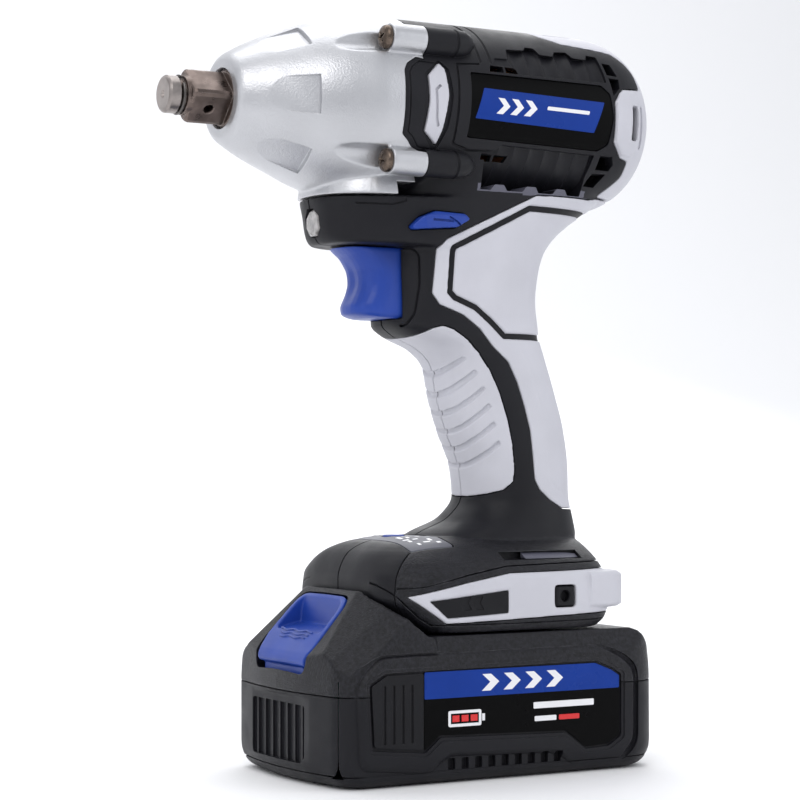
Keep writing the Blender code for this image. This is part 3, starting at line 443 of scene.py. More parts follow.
def piece(obj, name, material, body="root", hides=(), angle=32.0):
    """Names a finished piece, gives it its material, and puts it on its body."""
    obj.name = name
    obj.data.name = name
    obj.data.materials.clear()
    obj.data.materials.append(material)
    flags = np.zeros(len(obj.data.polygons), np.int32)
    obj.data.polygons.foreach_set("material_index", flags)
    obj.data.polygons.foreach_set("use_smooth", np.ones(len(flags), bool))
    obj.data.set_sharp_from_angle(angle=math.radians(angle))
    if hides:
        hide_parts(*hides)
    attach(obj, body)
    return obj


def monotone(xs, ys, x):
    """Smooth interpolation through the rows that never overshoots them."""
    xs, ys, x = (np.asarray(v, float) for v in (xs, ys, x))
    h = np.diff(xs)
    d = np.diff(ys) / h
    m = np.zeros(len(xs))
    for i in range(1, len(xs) - 1):
        if d[i - 1] * d[i] > 0:
            w1, w2 = 2 * h[i] + h[i - 1], h[i] + 2 * h[i - 1]
            m[i] = (w1 + w2) / (w1 / d[i - 1] + w2 / d[i])
    m[0], m[-1] = d[0], d[-1]
    k = np.clip(np.searchsorted(xs, x) - 1, 0, len(xs) - 2)
    t = (x - xs[k]) / h[k]
    return ((1 + 2 * t) * (1 - t) ** 2 * ys[k] + t * (1 - t) ** 2 * h[k] * m[k]
            + t * t * (3 - 2 * t) * ys[k + 1] + t * t * (t - 1) * h[k] * m[k + 1])


def oval(xf, xr, w, z, n=2.5, m=24, mid=None):
    c = (xf + xr) / 2 if mid is None else mid
    ring = []
    for k in range(m):
        t = 2 * math.pi * k / m
        ct, st = math.cos(t), math.sin(t)
        x = c + (xf - c if ct > 0 else c - xr) * math.copysign(abs(ct) ** (2 / n), ct)
        y = w * math.copysign(abs(st) ** (2 / n), st)
        if abs(st) < 1e-9:
            y = 0.0
        ring.append((x, y, z))
    return ring


def offset(poly, d):
    """A polygon grown by d (shrunk where d is negative)."""
    n = len(poly)
    area = sum(poly[i][0] * poly[(i + 1) % n][1] - poly[(i + 1) % n][0] * poly[i][1] for i in range(n))
    sign = 1 if area > 0 else -1
    grown = []
    for i in range(n):
        (ax, az), (bx, bz), (cx, cz) = poly[i - 1], poly[i], poly[(i + 1) % n]
        u = Vector((bx - ax, bz - az)).normalized()
        v = Vector((cx - bx, cz - bz)).normalized()
        nu, nv = Vector((u.y, -u.x)) * sign, Vector((v.y, -v.x)) * sign
        mid = nu + nv
        mid = mid / max(0.35, mid.length_squared / 2)
        grown.append((bx + mid.x * d, bz + mid.y * d))
    return grown


def rounded(poly, r, steps=4):
    """A polygon with its corners rounded to about r."""
    n = len(poly)
    out = []
    for i in range(n):
        a, b, c = (Vector(poly[k % n]) for k in (i - 1, i, i + 1))
        la, lc = (a - b).length, (c - b).length
        cut_a, cut_c = min(r, la * 0.45), min(r, lc * 0.45)
        p, q = b + (a - b) * (cut_a / la), b + (c - b) * (cut_c / lc)
        for k in range(steps + 1):
            t = k / steps
            point = p * (1 - t) ** 2 + b * 2 * t * (1 - t) + q * t * t
            out.append((point.x, point.y))
    return out


def stroke(line, width, closed_line=False):
    """The outline of a line of that width, as a polygon with square ends."""
    left, right = [], []
    n = len(line)
    for i in range(n):
        p = Vector(line[i])
        before = (p - Vector(line[i - 1])).normalized() if i else None
        after = (Vector(line[i + 1]) - p).normalized() if i < n - 1 else None
        tangent = ((before or after) + (after or before)).normalized()
        normal = Vector((-tangent.y, tangent.x))
        reach = width / 2
        if before and after:
            reach /= max(0.5, normal.dot(Vector((-before.y, before.x))))
        left.append(tuple(p + normal * reach))
        right.append(tuple(p - normal * reach))
    return left + right[::-1]


# ---------------------------------------------------------------- the body's outer form
HANDLE = [
    (68, 4, -57, 25, 2.6), (76, -4, -61.5, 20.5, 2.5), (81, -15.5, -60.7, 18.6, 2.4), (88, -21, -59.2, 17.2, 2.4),
    (97, -20, -59.1, 17, 2.4), (110, -14.8, -57.5, 17.2, 2.4),
    (121, -11.3, -54.4, 17.2, 2.4), (131, -9.2, -51, 17.2, 2.4), (136.5, -3.6, -49, 17.4, 2.5),
    (140, 4.5, -47.5, 17.8, 2.7), (144, 9, -46.4, 18.2, 3), (153, 9, -45.2, 18.8, 3), (161, 9, -45.9, 19.8, 3),
    (168.2, 9, -48.3, 20.7, 2.9), (168.9, 31.5, -48.7, 20.8, 2.9), (173.2, 33.8, -52.2, 21.5, 2.9),
    (178, 34.6, -58.5, 22.2, 2.8), (183.4, 35.6, -67, 23.2, 2.75), (184.2, 9.4, -68, 23.4, 2.75),
    (195, 9.4, -78.5, 26, 2.6), (206, 5, -83, 27.5, 2.5),
]
FOOT = [
    (46.3, 12, -56, 35.5, 6), (49, 16.4, -59, 37, 6), (53.7, 21.7, -60.5, 37.6, 6), (57.6, 25, -60.8, 37.6, 5.5),
    (63, 25, -60.8, 37.2, 5), (67, 23.8, -60.4, 34.2, 4.6), (70.5, 21.5, -59.5, 29.0, 4.4), (73.5, 16, -58.5, 23.0, 4.0), (75.5, 7.5, -57, 15.5, 3.6),
]
BARREL = [(17, 29.7), (8.6, 30), (-30, 30), (-60, 29.9), (-68, 29.2), (-74.5, 27), (-80, 23), (-83.8, 17.5), (-85.6, 11)]
CASE = [(66.5, 12.2), (65.6, 13.7), (63, 15.4), (56, 19), (47, 22.8), (39, 26.1), (31, 28.4), (22, 29.9), (8.6, 30.2)]


def fine_rows(rows, step):
    """Rows with smooth levels between them."""
    rows = np.array(rows, float)
    z = rows[:, 0]
    levels = sorted(set(np.round(np.arange(z[0], z[-1], step), 3)) | set(z))
    return [(level, *(float(monotone(z, rows[:, k], level)) for k in range(1, rows.shape[1]))) for level in levels]


def round_profile(profile, step=1.2):
    """A turned profile with smooth points between its own."""
    points = np.array(profile, float)
    s = np.concatenate([[0], np.cumsum(np.linalg.norm(np.diff(points, axis=0), axis=1))])
    levels = sorted(set(np.round(np.arange(0, s[-1], step), 3)) | set(s))
    return [(float(monotone(s, points[:, 0], v)), float(monotone(s, points[:, 1], v))) for v in levels]


def body_form(d=0.0, m=48, segs=80, step=3.0):
    """The housing's outside, moved in by d."""
    smooth = round_profile(BARREL)
    profile = [(smooth[0][0], 0)] + [(x if x > -31 else x + d * 0.8, r - d) for x, r in smooth] + [(-86 + d, 0)]
    form = turned(profile, segs)
    handle = [(z, xf, xr, w, n, (xf + xr) / 2 if z < 150 else -18.5) for z, xf, xr, w, n in HANDLE]
    fuse(form, loft([oval(xf - d, xr + d, w - d, z, n, m, mid) for z, xf, xr, w, n, mid in fine_rows(handle, step)]))
    foot = fine_rows(FOOT, step)
    low, high = FOOT[0][0], FOOT[-1][0]
    rings = []
    for z, xf, xr, w, n in foot:
        k = min(d, 2.0) * max(0.0, 1 - (z - low) / 4) - d * max(0.0, min(1.0, (z - 58) / 6))
        rings.append(oval(xf - d, xr + d, w - d, z + k, n, m))
    fuse(form, loft(rings))
    return form


CASE_SIDE = [(70, 183.9), (14.9, 183.9), (14.9, 188), (8.6, 188), (8.6, 250), (70, 250)]
TAB = [(0, 224.6), (11.4, 226.4), (15, 224.2), (16.4, 221.9), (16.8, 213), (16.8, 202.1), (14.3, 200.1), (11.8, 197.1), (0, 196)]
REAR_TRIM = [
    (-95, 187.3), (-66, 187.3), (-60, 186.3), (-36.2, 186.0), (-3.8, 170.7), (-1, 167.6), (-0.4, 153.4), (-3, 149.8), (-11.2, 146.7), (-17.6, 142.4),
    (-22.6, 137.1), (-28.9, 131.9), (-32.3, 125.4), (-35, 117.9), (-37.3, 109.8), (-38.4, 101.6), (-39.2, 93.5),
    (-41.1, 90.2), (-45, 86.9), (-50.1, 84.2), (-95, 82),
]
FRONT_GRIP = [
    (30, 137.9), (6.8, 137.9), (3.2, 139.5), (-1.3, 142.3), (-4.3, 143.1), (-8, 142), (-13.6, 138.7), (-18.2, 134.6),
    (-22.3, 129.1), (-25.8, 121.7), (-28.8, 113), (-30.7, 104.9), (-31.8, 96.8), (-31.2, 92.9), (-28.4, 90.3), (-21, 88.1),
    (-15.4, 86.2), (-7.8, 85.4), (30, 85.4),
]
REAR_CAP = [
    (-36.5, 250), (-43.6, 239.8), (-49.5, 237.3), (-68.5, 235.4), (-73.6, 232.4), (-76.2, 229.0), (-76.6, 223.4), (-75.4, 223),
    (-67.0, 222.2), (-63.0, 217.7), (-63.0, 204.5), (-67.0, 199.8), (-71, 199), (-70.5, 194), (-64.5, 187.8), (-100, 187.8), (-100, 250),
]
BOSS = rounded([(-63.2, 217.4), (-65.4, 221.2), (-71.0, 221.8), (-74.2, 219.8), (-74.4, 203.8), (-72.2, 200.4), (-66.9, 200.4), (-63.2, 205.0)], 0.8, 3)
NAMEPLATE = [(-8, 223), (-6.8, 202.6), (-57, 201.4), (-60.5, 203.5), (-61.9, 212), (-61, 220), (-58, 222.6)]
ACCENT = [(7.8, 221), (3.4, 225.2), (1.6, 223.4), (0.9, 215), (2.8, 203.8), (4.2, 199.6), (9, 203.4), (7.8, 213)]
FOOT_TRIM = [
    (19, 57.9), (6.2, 49.4), (-12, 49.8), (-34.6, 50.6), (-50, 51), (-95, 52.2), (-95, 64.2), (-51.3, 64.9), (-34.7, 64.6),
    (-16.6, 64.4), (-1.1, 61.9), (13.4, 59),
]
SIDE_PANEL = [
    (34.3, 32.1), (28.7, 35.1), (-48.7, 35.5), (-55.3, 32.9), (-58.5, 30.8), (-58.4, 11.2), (-53.6, 8.3), (-44.7, 7.9),
    (-37, 13.5), (9.3, 14.8), (14.7, 10.3), (33.3, 12.1),
]
LABEL_OUT = [(15, 35), (-48.5, 35), (-55, 32.5), (-58, 30.5), (-58, 11.5), (-53.5, 8.8), (-45, 8.4), (-37.4, 14), (9.5, 15.3), (15, 10.9)]
EIGHTHS = [math.radians(22.5 + 45 * k) for k in range(8)]
SELECTOR = [(10.2, 173.9), (7.2, 176.9), (2.1, 179), (-8.7, 178.6), (-10.3, 176.8), (-5.7, 174.2), (9.4, 173)]
PANEL_AREA = [(12.2, 24.5), (-3.2, 24.5), (-3.2, -24.5), (12.2, -24.5)]
KEY = Vector((4.5, 0, 75.5))
SCREWS_RIGHT = [(-14, 182.6, 22), (-38, 120, 14), (-46, 90, 14), (8, 64, 36)]
INLAY = [(-95, 181.2), (-34.1, 181.7), (-6.6, 168.1), (-6.3, 166.5), (-6.2, 154), (-8.1, 152.1), (-15.6, 149.2), (-21.3, 145.1), (-27.2, 140.2), (-95, 140.3)]
FINGER_GROOVES = [   # upper edge, then lower edge, each from the rear end forward
    (((-13.7, 133.6), (-12.1, 132.0), (-10.7, 130.3), (-10.1, 129.3), (-10.0, 129.1)), ((-14.9, 132.7), (-13.2, 130.9), (-11.4, 129.0), (-10.6, 127.6), (-10.3, 126.9))),
    (((-17.6, 129.4), (-15.1, 126.9), (-12.8, 124.4), (-11.4, 122.7), (-11.1, 122.1)), ((-18.7, 128.2), (-16.2, 125.5), (-13.6, 122.7), (-12.0, 120.8), (-11.6, 120.2))),
    (((-20.3, 124.0), (-17.6, 121.2), (-14.8, 118.3), (-13.1, 116.4), (-12.8, 115.9)), ((-21.1, 123.0), (-18.1, 119.7), (-15.5, 117.0), (-13.7, 114.6), (-13.4, 114.1))),
    (((-22.3, 118.4), (-19.6, 115.5), (-16.9, 112.5), (-15.2, 110.2), (-14.9, 109.8)), ((-23.3, 117.2), (-20.1, 114.1), (-17.7, 111.4), (-15.8, 108.9), (-15.5, 108.3))),
    (((-24.2, 112.5), (-21.2, 109.4), (-18.7, 106.6), (-17.5, 104.5), (-17.3, 104.2)), ((-25.2, 111.4), (-21.8, 107.9), (-19.4, 105.1), (-18.2, 102.7), (-18.0, 102.3))),
    (((-26.2, 106.4), (-23.3, 103.3), (-21.1, 100.8), (-19.9, 99.1), (-19.7, 98.7)), ((-26.9, 105.0), (-23.9, 101.7), (-21.6, 99.2), (-20.3, 97.7), (-20.0, 97.2))),
]
BOSSES = [(y, AXIS_Z + dz) for y in (SCREW_Y, -SCREW_Y) for dz in (SCREW_DZ, -SCREW_DZ)]


def layer(outline, low, depth, high=60, both=True):
    """A cutter that goes depth deep into the body's side inside an outline."""
    made = prism(outline, low, high)
    cut(made, body_form(depth, m=40, segs=64, step=4.0))
    if not both:
        return made
    other = mirrored(made)
    return merged([made, other])


def both_sides(make):
    return merged([make(1), make(-1)])


# ---------------------------------------------------------------- clamshell
OUTER = moulded(body_form(0, m=96, segs=128, step=1.2), 0.6, 5)


def layered(outline, inner, low=0.15, high=60.0):
    """The part of the outer form inside a side outline, down to a depth."""
    made = meet(prism(outline, low, high), OUTER, keep=True)
    cut(made, body_form(inner, m=40, segs=64, step=4.0))
    return made


def make_housing():
    body = copy_of(OUTER)
    for y, z in BOSSES:
        fuse(body, turned([(8.6, 0), (8.6, 4.5), (-2.1, 4.5), (-2.4, 4.05), (-2.9, 4.05), (-3.2, 4.5), (-6.4, 4.2), (-8.6, 3.2), (-11.6, 0)], 36, centre=(y, z)))
    space = prism(offset(CASE_SIDE, GAP), -60, 60)
    for side in (1, -1):
        cut(space, prism(TAB, 20 * side, 45 * side))
    cut(body, space)
    # recesses for the soft parts, plates and trims
    for depth, outline in ((SKIN + 1.0, REAR_TRIM), (SKIN + 0.4, FRONT_GRIP), (2.1, REAR_CAP), (2.1, NAMEPLATE), (1.7, ACCENT), (2.0, FOOT_TRIM)):
        cut(body, layer(rounded(offset(outline, GAP), 0.8), -60, depth, 60, both=False))
    # shallow seat round the accent, and the raised frame round the nameplate
    cut(body, layer(rounded([(9.3, 221.5), (3.4, 226.4), (0.1, 223.4), (-0.6, 215), (0.9, 204.5), (3.6, 198.2), (5.3, 197.6), (10.4, 203.3)], 0.6), 15, 0.7))
    frame_line = rounded([(-3.6, 225.2), (-2.2, 200.4), (-8, 198.9), (-22, 199.2), (-22, 198.5), (-7.4, 198.2), (-1.2, 199.8), (-2.9, 226.0), (-12, 226.6), (-12, 226.0)], 0.4)
    cut(body, layer(frame_line, 15, 0.55))
    # fluted sides: scalloped ring kept inside toothed regions
    pitch, count = 5.85, 9
    start = -14.0
    inner = []
    for k in range(count):
        for t in (0.0, 0.12, 0.3, 0.5, 0.7, 0.88):
            x = start - (k + t) * pitch
            inner.append((x, 28.95 - 0.75 * (1 - (2 * t - 1) ** 2) ** 0.8))
    inner.append((start - count * pitch, 28.95))
    ring = [(start, 36)] + inner + [(start - count * pitch, 36)]
    flutes = turned(ring, 128)
    upper = [(-26.2, 223.9), (-23.4, 229.2), (-24.6, 232.6), (-31.5, 232.9), (-32.8, 234.2), (-35.6, 234.2)]
    for base0, tip0, tip1, base1 in ((-36.2, -37.3, -42.3, -43.7), (-48.5, -50.2, -55.3, -56.4)):
        upper += [(base0, 233.9), (tip0, 231.9), (tip1, 231.7), (base1, 233.5)]
    upper += [(-60.2, 233.2), (-60.6, 223.9)]
    lower = [(-20.2, 200.9), (-14.0, 196.2), (-13.6, 186.7)]
    for base0, tip0, tip1, base1 in ((-17.8, -19.2, -22.7, -24.1), (-30.1, -31.5, -35.1, -36.4), (-42.3, -43.7, -47.3, -48.7)):
        lower += [(base0, 186.7), (tip0, 188.5), (tip1, 188.5), (base1, 186.7)]
    lower += [(-54.4, 186.8), (-56.2, 199.9)]
    region = []
    for side in (1, -1):
        for outline in (upper, lower):
            region.append(prism(rounded(outline, 0.35, 2), *sorted((8 * side, 45 * side))))
    cut(body, meet(flutes, merged(region)))
    # raised band round the barrel in front of the flutes
    band = turned([(-12.0, 36), (-12.0, 29.75), (-12.5, 29.55), (-13.0, 29.75), (-13.0, 36)], 128)
    band_2 = turned([(-16.0, 36), (-16.0, 29.75), (-16.5, 29.5), (-17.0, 29.75), (-17.0, 36)], 128)
    guard = prism([(-30, 226.8), (0, 226.8), (0, 260), (-30, 260)], -50, 50)
    cut(body, meet(merged([band, band_2]), guard))
    # bevelled line inside the case tab
    tab_line = stroke([(2.4, 225.0), (10.6, 225.3), (13.6, 223.2), (14.7, 221.3), (15.0, 213), (15.0, 202.7), (13.0, 201.2), (10.6, 198.4), (3.0, 197.6)], 0.5)
    cut(body, layer(tab_line, 15, 0.35))
    # stepped lip under the silver skirt
    lip = stroke([(11.8, 186.5), (11.8, 181.9), (16.0, 180.7), (27.0, 180.9)], 0.55)
    cut(body, layer(lip, 4, 0.45))
    # trigger frame line on the guard
    frame_line = stroke(rounded([(13, 168.0), (5.4, 167.6), (3.9, 165.6), (3.4, 156), (4.4, 147), (6.8, 142.4)], 1.2), 0.6)
    cut(body, layer(frame_line, 4, 0.5))
    # openings: trigger, selector, lamp, panel, button
    cut(body, block(-2, 14, -10.5, 10.5, 145.3, 168.5, bevel=0.8))
    cut(body, prism(rounded(offset(SELECTOR, 0.35), 0.5, 2), -40, 40))
    cut(body, plate([(4.9 * math.cos(a), 175.6 + 4.9 * math.sin(a)) for a in EIGHTHS], 29.7, 40))
    seat = plan(rounded(offset(PANEL_AREA, 0.55), 1.2), 66, 80)
    cut(seat, body_form(2.1, m=40, segs=64, step=4.0))
    cut(body, seat)
    cut(body, block(KEY.x - 2.5, KEY.x + 2.5, -3, 3, 68, 77))
    # crease between the toe and the coarser sides of the foot
    crease = plan(stroke([(12.75, 24.9), (26.5, 34.1)], 0.45), 44, 74.5)
    cut(crease, body_form(0.4, m=64, segs=48, step=2.5))
    cut(body, merged([crease, mirrored(crease)]))
    # seam between the halves
    seam = block(-110, 60, -0.34, 0.34, 30, 260)
    cut(seam, body_form(0.55, m=64, segs=96, step=2.5))
    cut(body, seam)
    # cavity
    cavity = body_form(3.4, m=32, segs=48, step=6.0)
    cut(cavity, block(-90, 60, -60, 60, 40, 56.5))
    cut(cavity, block(5.6, 60, -60, 60, 166, 172))
    cut(cavity, block(5.6, 60, -60, 60, 180.3, 186.5))
    cut(cavity, turned([(-71, 11.4), (-71, 29), (-66.5, 29), (-66.5, 11.4)], 24, turn=0.04))
    behind = turned([(-64, 40), (-64, 26.6), (-11.6, 26.6), (-11.6, 40)], 64, turn=0.05)
    cut(cavity, meet(behind, merged([block(-70, 0, *sorted((8 * side, 45 * side)), 184.4, 203.0) for side in (1, -1)])))
    fuse(cavity, turned([(22, 0), (22, 26.75), (-2, 26.75), (-2, 0)], 48, turn=0.09))
    cut(body, cavity)
    # battery channel and terminal pocket
    cut(body, block(-50, 40, -14, 14, 45, 50.2))
    cut(body, block(-50, 40, -17.5, 17.5, 49.0, 53.6))
    cut(body, block(-54, -46.6, -12.6, 12.6, 49.0, 58))
    # cooling slots with dividers, tabs, nut seats and foot slots
    cutters = []
    for side in (1, -1):
        def through(outline, low, high=45):
            cutters.append(prism(outline, *sorted((low * side, high * side))))
        through([(-15.3, 224.0), (-20.6, 224.0), (-20.6, 226.0), (-15.9, 226.2)], 12)
        through([(-21.4, 224.0), (-27.4, 223.9), (-26.6, 225.9), (-21.4, 226.0)], 12)
        through([(-13.0, 197.9), (-18.2, 197.9), (-18.2, 195.9), (-12.6, 195.9)], 12)
        through([(-19.0, 197.9), (-24.3, 197.9), (-23.6, 195.9), (-19.0, 195.9)], 12)
        through([(-61.6, 226.8), (-66.0, 226.6), (-64.6, 230.8), (-61.3, 231.0)], 12)
        through([(-62.6, 219.6), (-65.8, 222.4), (-66.2, 225.6), (-61.9, 225.8)], 12)
        through([(-58.6, 199.9), (-63.6, 199.9), (-64.8, 197.4), (-63.8, 195.4), (-58.2, 195.5)], 12)
        through([(-57.9, 194.4), (-63.2, 194.4), (-60.6, 190.2), (-55.2, 190.2)], 12)
        through([(-69.9, 205.5), (-72.8, 205.5), (-72.8, 217), (-69.9, 217)], 12)
        x, z = NUT_AT
        through(rounded([(x - 4.1, z - 3.6), (x + 4.1, z - 3.6), (x + 4.1, z + 3.6), (x - 4.1, z + 3.6)], 0.9), 33.6)
        through([(-48, 68.3), (-17.3, 68.3), (-17.3, 70.8), (-48, 70.8)], 26.0)
    cut(body, merged(cutters))
    # shallow seats above and below the small vents
    cut(body, layer(rounded([(-17.0, 226.4), (-18.6, 229.0), (-23.6, 229.0), (-25.0, 226.4)], 0.3), 10, 0.45))
    cut(body, layer(rounded([(-14.4, 195.5), (-15.6, 193.5), (-20.2, 193.5), (-21.6, 195.5)], 0.3), 10, 0.45))
    # foot: edge line above the battery and beside the trim
    cut(body, layer(stroke([(21.2, 60.4), (13.9, 60.9), (-1.3, 64.2), (-16.6, 66.6), (-34.7, 67.0), (-52, 67.2), (-90, 66.6)], 0.45), 20, 0.35))
    cut(body, layer(stroke([(25.6, 63.4), (23.6, 60.4), (19.4, 55.6), (14.6, 51.3), (10.6, 48.9), (-20, 48.7), (-56, 48.9)], 0.45), 20, 0.4))
    for y, z in BOSSES:
        cut(body, rod((-7, y, z), (12, y, z), 2.0, 16, turn=0.15))
    for x, z, depth in SCREWS_RIGHT:
        cut(body, rod((x, -60, z), (x, -depth + 3.3, z), 3.3, 32))
        cut(body, rod((x, -60, z), (x, -4, z), 1.8, 16))
    return body


BODY = make_housing()
for side, name in ((1, "left_housing"), (-1, "right_housing")):
    shell = copy_of(BODY)
    meet(shell, block(-120, 120, 0.12, 80, -20, 300) if side > 0 else block(-120, 120, -80, -0.12, -20, 300))
    largest_only(shell)
    shell = piece(shell, "clamshell_" + ("left" if side > 0 else "right"), BLACK, "root", (name,), angle=28)
    # the foot has the coarser texture
    shell.data.materials.append(BLACK_FOOT)
    shell.data.materials.append(TEETH_HIGHLIGHT_AND_BAR)
    count = len(shell.data.polygons)
    centres = np.zeros(count * 3)
    shell.data.polygons.foreach_get("center", centres)
    centres = centres.reshape(-1, 3) * 1000
    low = (centres[:, 2] < 75.0) & (centres[:, 0] < 12.75 + 1.5 * (np.abs(centres[:, 1]) - 24.9))
    index = low.astype(np.int32)
    x, y, z = centres[:, 0], np.abs(centres[:, 1]), centres[:, 2]
    # the band of teeth over the rear trim gets the lighter material, a painted highlight on the up-facing ledge
    index[(z > 186.0) & (z < 188.8) & (x > -57) & (x < -13) & (y > 18) & (y < 27)] = 2
    shell.data.polygons.foreach_set("material_index", index)
drop(BODY)

# ---------------------------------------------------------------- soft trims
def two_sided(make, name, material, hides, body="root", angle=32.0):
    left = make()
    right = mirrored(left)
    piece(left, name + "_left", material, body, (hides + "_left",) if hides else (), angle)
    piece(right, name + "_right", material, body, (hides + "_right",) if hides else (), angle)
    return left, right


def rear_trim():
    made = layered(REAR_TRIM, SKIN)
    cut(made, layer(stroke(INLAY, 2.1), 0.1, 1.0, 60, both=False))
    groove = stroke([(-95, 136.0), (-34.0, 136.2), (-36.9, 131.5), (-40.6, 122), (-43.2, 112), (-44.6, 101), (-45.4, 93), (-48.4, 90.4), (-52, 89.0)], 0.5)
    cut(made, layer(groove, 0.1, 0.45, 60, both=False))
    return moulded(largest_only(made), 0.42, 3)


def inlay():
    made = meet(prism(stroke(INLAY, 1.75), 0.3, 60), OUTER, keep=True)
    cut(made, body_form(1.15, m=40, segs=64, step=4.0))
    shell = body_form(0.45, m=64, segs=96, step=2.5)
    return meet(made, shell)


def front_grip():
    made = layered(FRONT_GRIP, SKIN)
    for upper, lower in FINGER_GROOVES:
        outline = list(upper) + [(12, upper[-1][1] - 0.3), (12, lower[-1][1] + 0.2)] + list(reversed(lower))
        cut(made, layer(outline, 0.0, 0.95, 60, both=False))
    return moulded(largest_only(made), 0.30, 3)


def accent():
    made = moulded(layered(ACCENT, 1.4), 0.3, 2)
    return cut(made, layer(stroke([(3.9, 218.0), (5.6, 216.4), (5.3, 207.6), (4.5, 205.0)], 0.9), 3, 0.75, 60, both=False))


def foot_trim():
    made = layered(FOOT_TRIM, 1.7)
    bumper = loft([oval(20, -64.9 + c, 37.8 - c, z, 7, 48) for z, c in ((52.5, 1.2), (53.5, 0.0), (63.0, 0.0), (64.1, 1.2))])
    meet(bumper, block(-70, -47, 0.15, 60, 50, 66))
    cut(bumper, body_form(1.7, m=40, segs=64, step=4.0))
    fuse(made, bumper)
    x, z = NUT_AT
    cut(made, prism(rounded([(x - 4.1, z - 3.6), (x + 4.1, z - 3.6), (x + 4.1, z + 3.6), (x - 4.1, z + 3.6)], 1.2), 30, 50))
    cut(made, layer(rounded([(12.9, 56.7), (6.2, 50.7), (-16.0, 51.8), (-16.0, 59.6)], 0.5), 20, 0.6, 60, both=False))
    return moulded(largest_only(made), 0.4, 3)


def foot_insert():
    made = meet(prism(rounded([(12.2, 56.4), (6.1, 51.1), (-15.7, 52.1), (-15.7, 59.2)], 0.4), 3, 60), OUTER, keep=True)
    cut(made, body_form(0.85, m=40, segs=64, step=4.0))
    meet(made, body_form(0.2, m=64, segs=96, step=2.5))
    for dx in (0, -4.4):
        cut(made, layer([(0.6 + dx, 53.4), (-2.2 + dx, 53.5), (-1.0 + dx, 55.6), (-2.0 + dx, 57.6), (0.8 + dx, 57.4), (1.9 + dx, 55.5)], 10, 0.42, 60, both=False))
    return made


two_sided(rear_trim, "rear_overmould", GREY, "rear_trim", angle=40)
two_sided(inlay, "rear_inlay", BLACK_SMOOTH, None)
two_sided(front_grip, "finger_grip", GREY, "front_grip", angle=40)
two_sided(accent, "accent_bar", GREY, "accent", angle=40)
two_sided(foot_trim, "foot_band", GREY, "foot_trim", angle=40)
two_sided(foot_insert, "foot_insert", BLACK_SMOOTH, None)


def rear_cap():
    made = layered(REAR_CAP, 1.8, low=-60)
    cutters = []
    for side in (1, -1):
        boss = prism(BOSS, *sorted((10 * side, 45 * side)))
        meet(boss, turned([(-60, 0), (-60, 31.0), (-69, 30.2), (-72.5, 29.0), (-76, 27.3), (-76, 0)], 96))
        cut(boss, body_form(1.6, m=40, segs=64, step=4.0))
        fuse(made, boss)
        for x0, x1, z0, z1 in ((-72.8, -69.9, 205.5, 217),):
            cutters.append(block(x0, x1, *sorted((12 * side, 45 * side)), z0, z1, bevel=0.3, segments=1))
    cut(made, merged(cutters))
    for side in (1, -1):
        for outline, depth in ((stroke([(-75.9, 217.5), (-76.2, 203.4)], 1.1), 1.2),
                               (stroke([(-80.5, 221.0), (-81.6, 219.5)], 0.6), 0.4)):
            cutter = layer(outline, 2, depth, 60, both=False)
            if side < 0:
                other = mirrored(cutter)
                drop(cutter)
                cutter = other
            cut(made, cutter)
    cut(made, block(-58.5, -47.5, -9.0, -7.4, 240, 245), block(-58.5, -47.5, 7.4, 9.0, 240, 245))
    return moulded(largest_only(made), 0.42, 3)


piece(rear_cap(), "bumper", GREY, "root", ("rear_cap",), angle=40)


# ---------------------------------------------------------------- nameplate: film with a blue slanted band and plain marks
def nameplate():
    made = meet(prism(rounded(NAMEPLATE, 1.4), 3, 60), OUTER, keep=True)
    cut(made, body_form(1.8, m=40, segs=64, step=4.0))
    return meet(made, turned([(40, 0), (40, 29.55), (-70, 29.55), (-70, 0)], 160))


def film(outline, top, low=3, high=60, floor=0.06):
    """A thin printed patch lying on the nameplate."""
    made = prism(outline, low, high)
    meet(made, turned([(40, 0), (40, top), (-70, top), (-70, 0)], 160))
    return cut(made, turned([(41, 0), (41, top - floor), (-71, top - floor), (-71, 0)], 160, turn=0.01))


def plate_band():
    return film(rounded([(-12.4, 218.4), (-58.7, 217.1), (-54.7, 206.9), (-9.0, 208.5)], 0.3, 2), 29.59)


def plate_marks():
    marks = []
    for k in range(3):
        x = -17.5 - 5.2 * k
        marks.append(film([(x, 215.6), (x - 2.4, 215.5), (x - 4.4, 213.0), (x - 1.6, 210.4), (x + 0.8, 210.5), (x - 2.0, 213.1)], 29.63))
    marks.append(film(rounded([(-36.4, 214.2), (-52.8, 213.8), (-52.4, 212.6), (-36.0, 213.0)], 0.3, 2), 29.63))
    return merged(marks)


two_sided(nameplate, "nameplate_film", LABEL, "nameplate", angle=40)
two_sided(plate_band, "nameplate_band", LABEL_BLUE, None, angle=40)
two_sided(plate_marks, "nameplate_marks", LABEL_WHITE, None, angle=40)


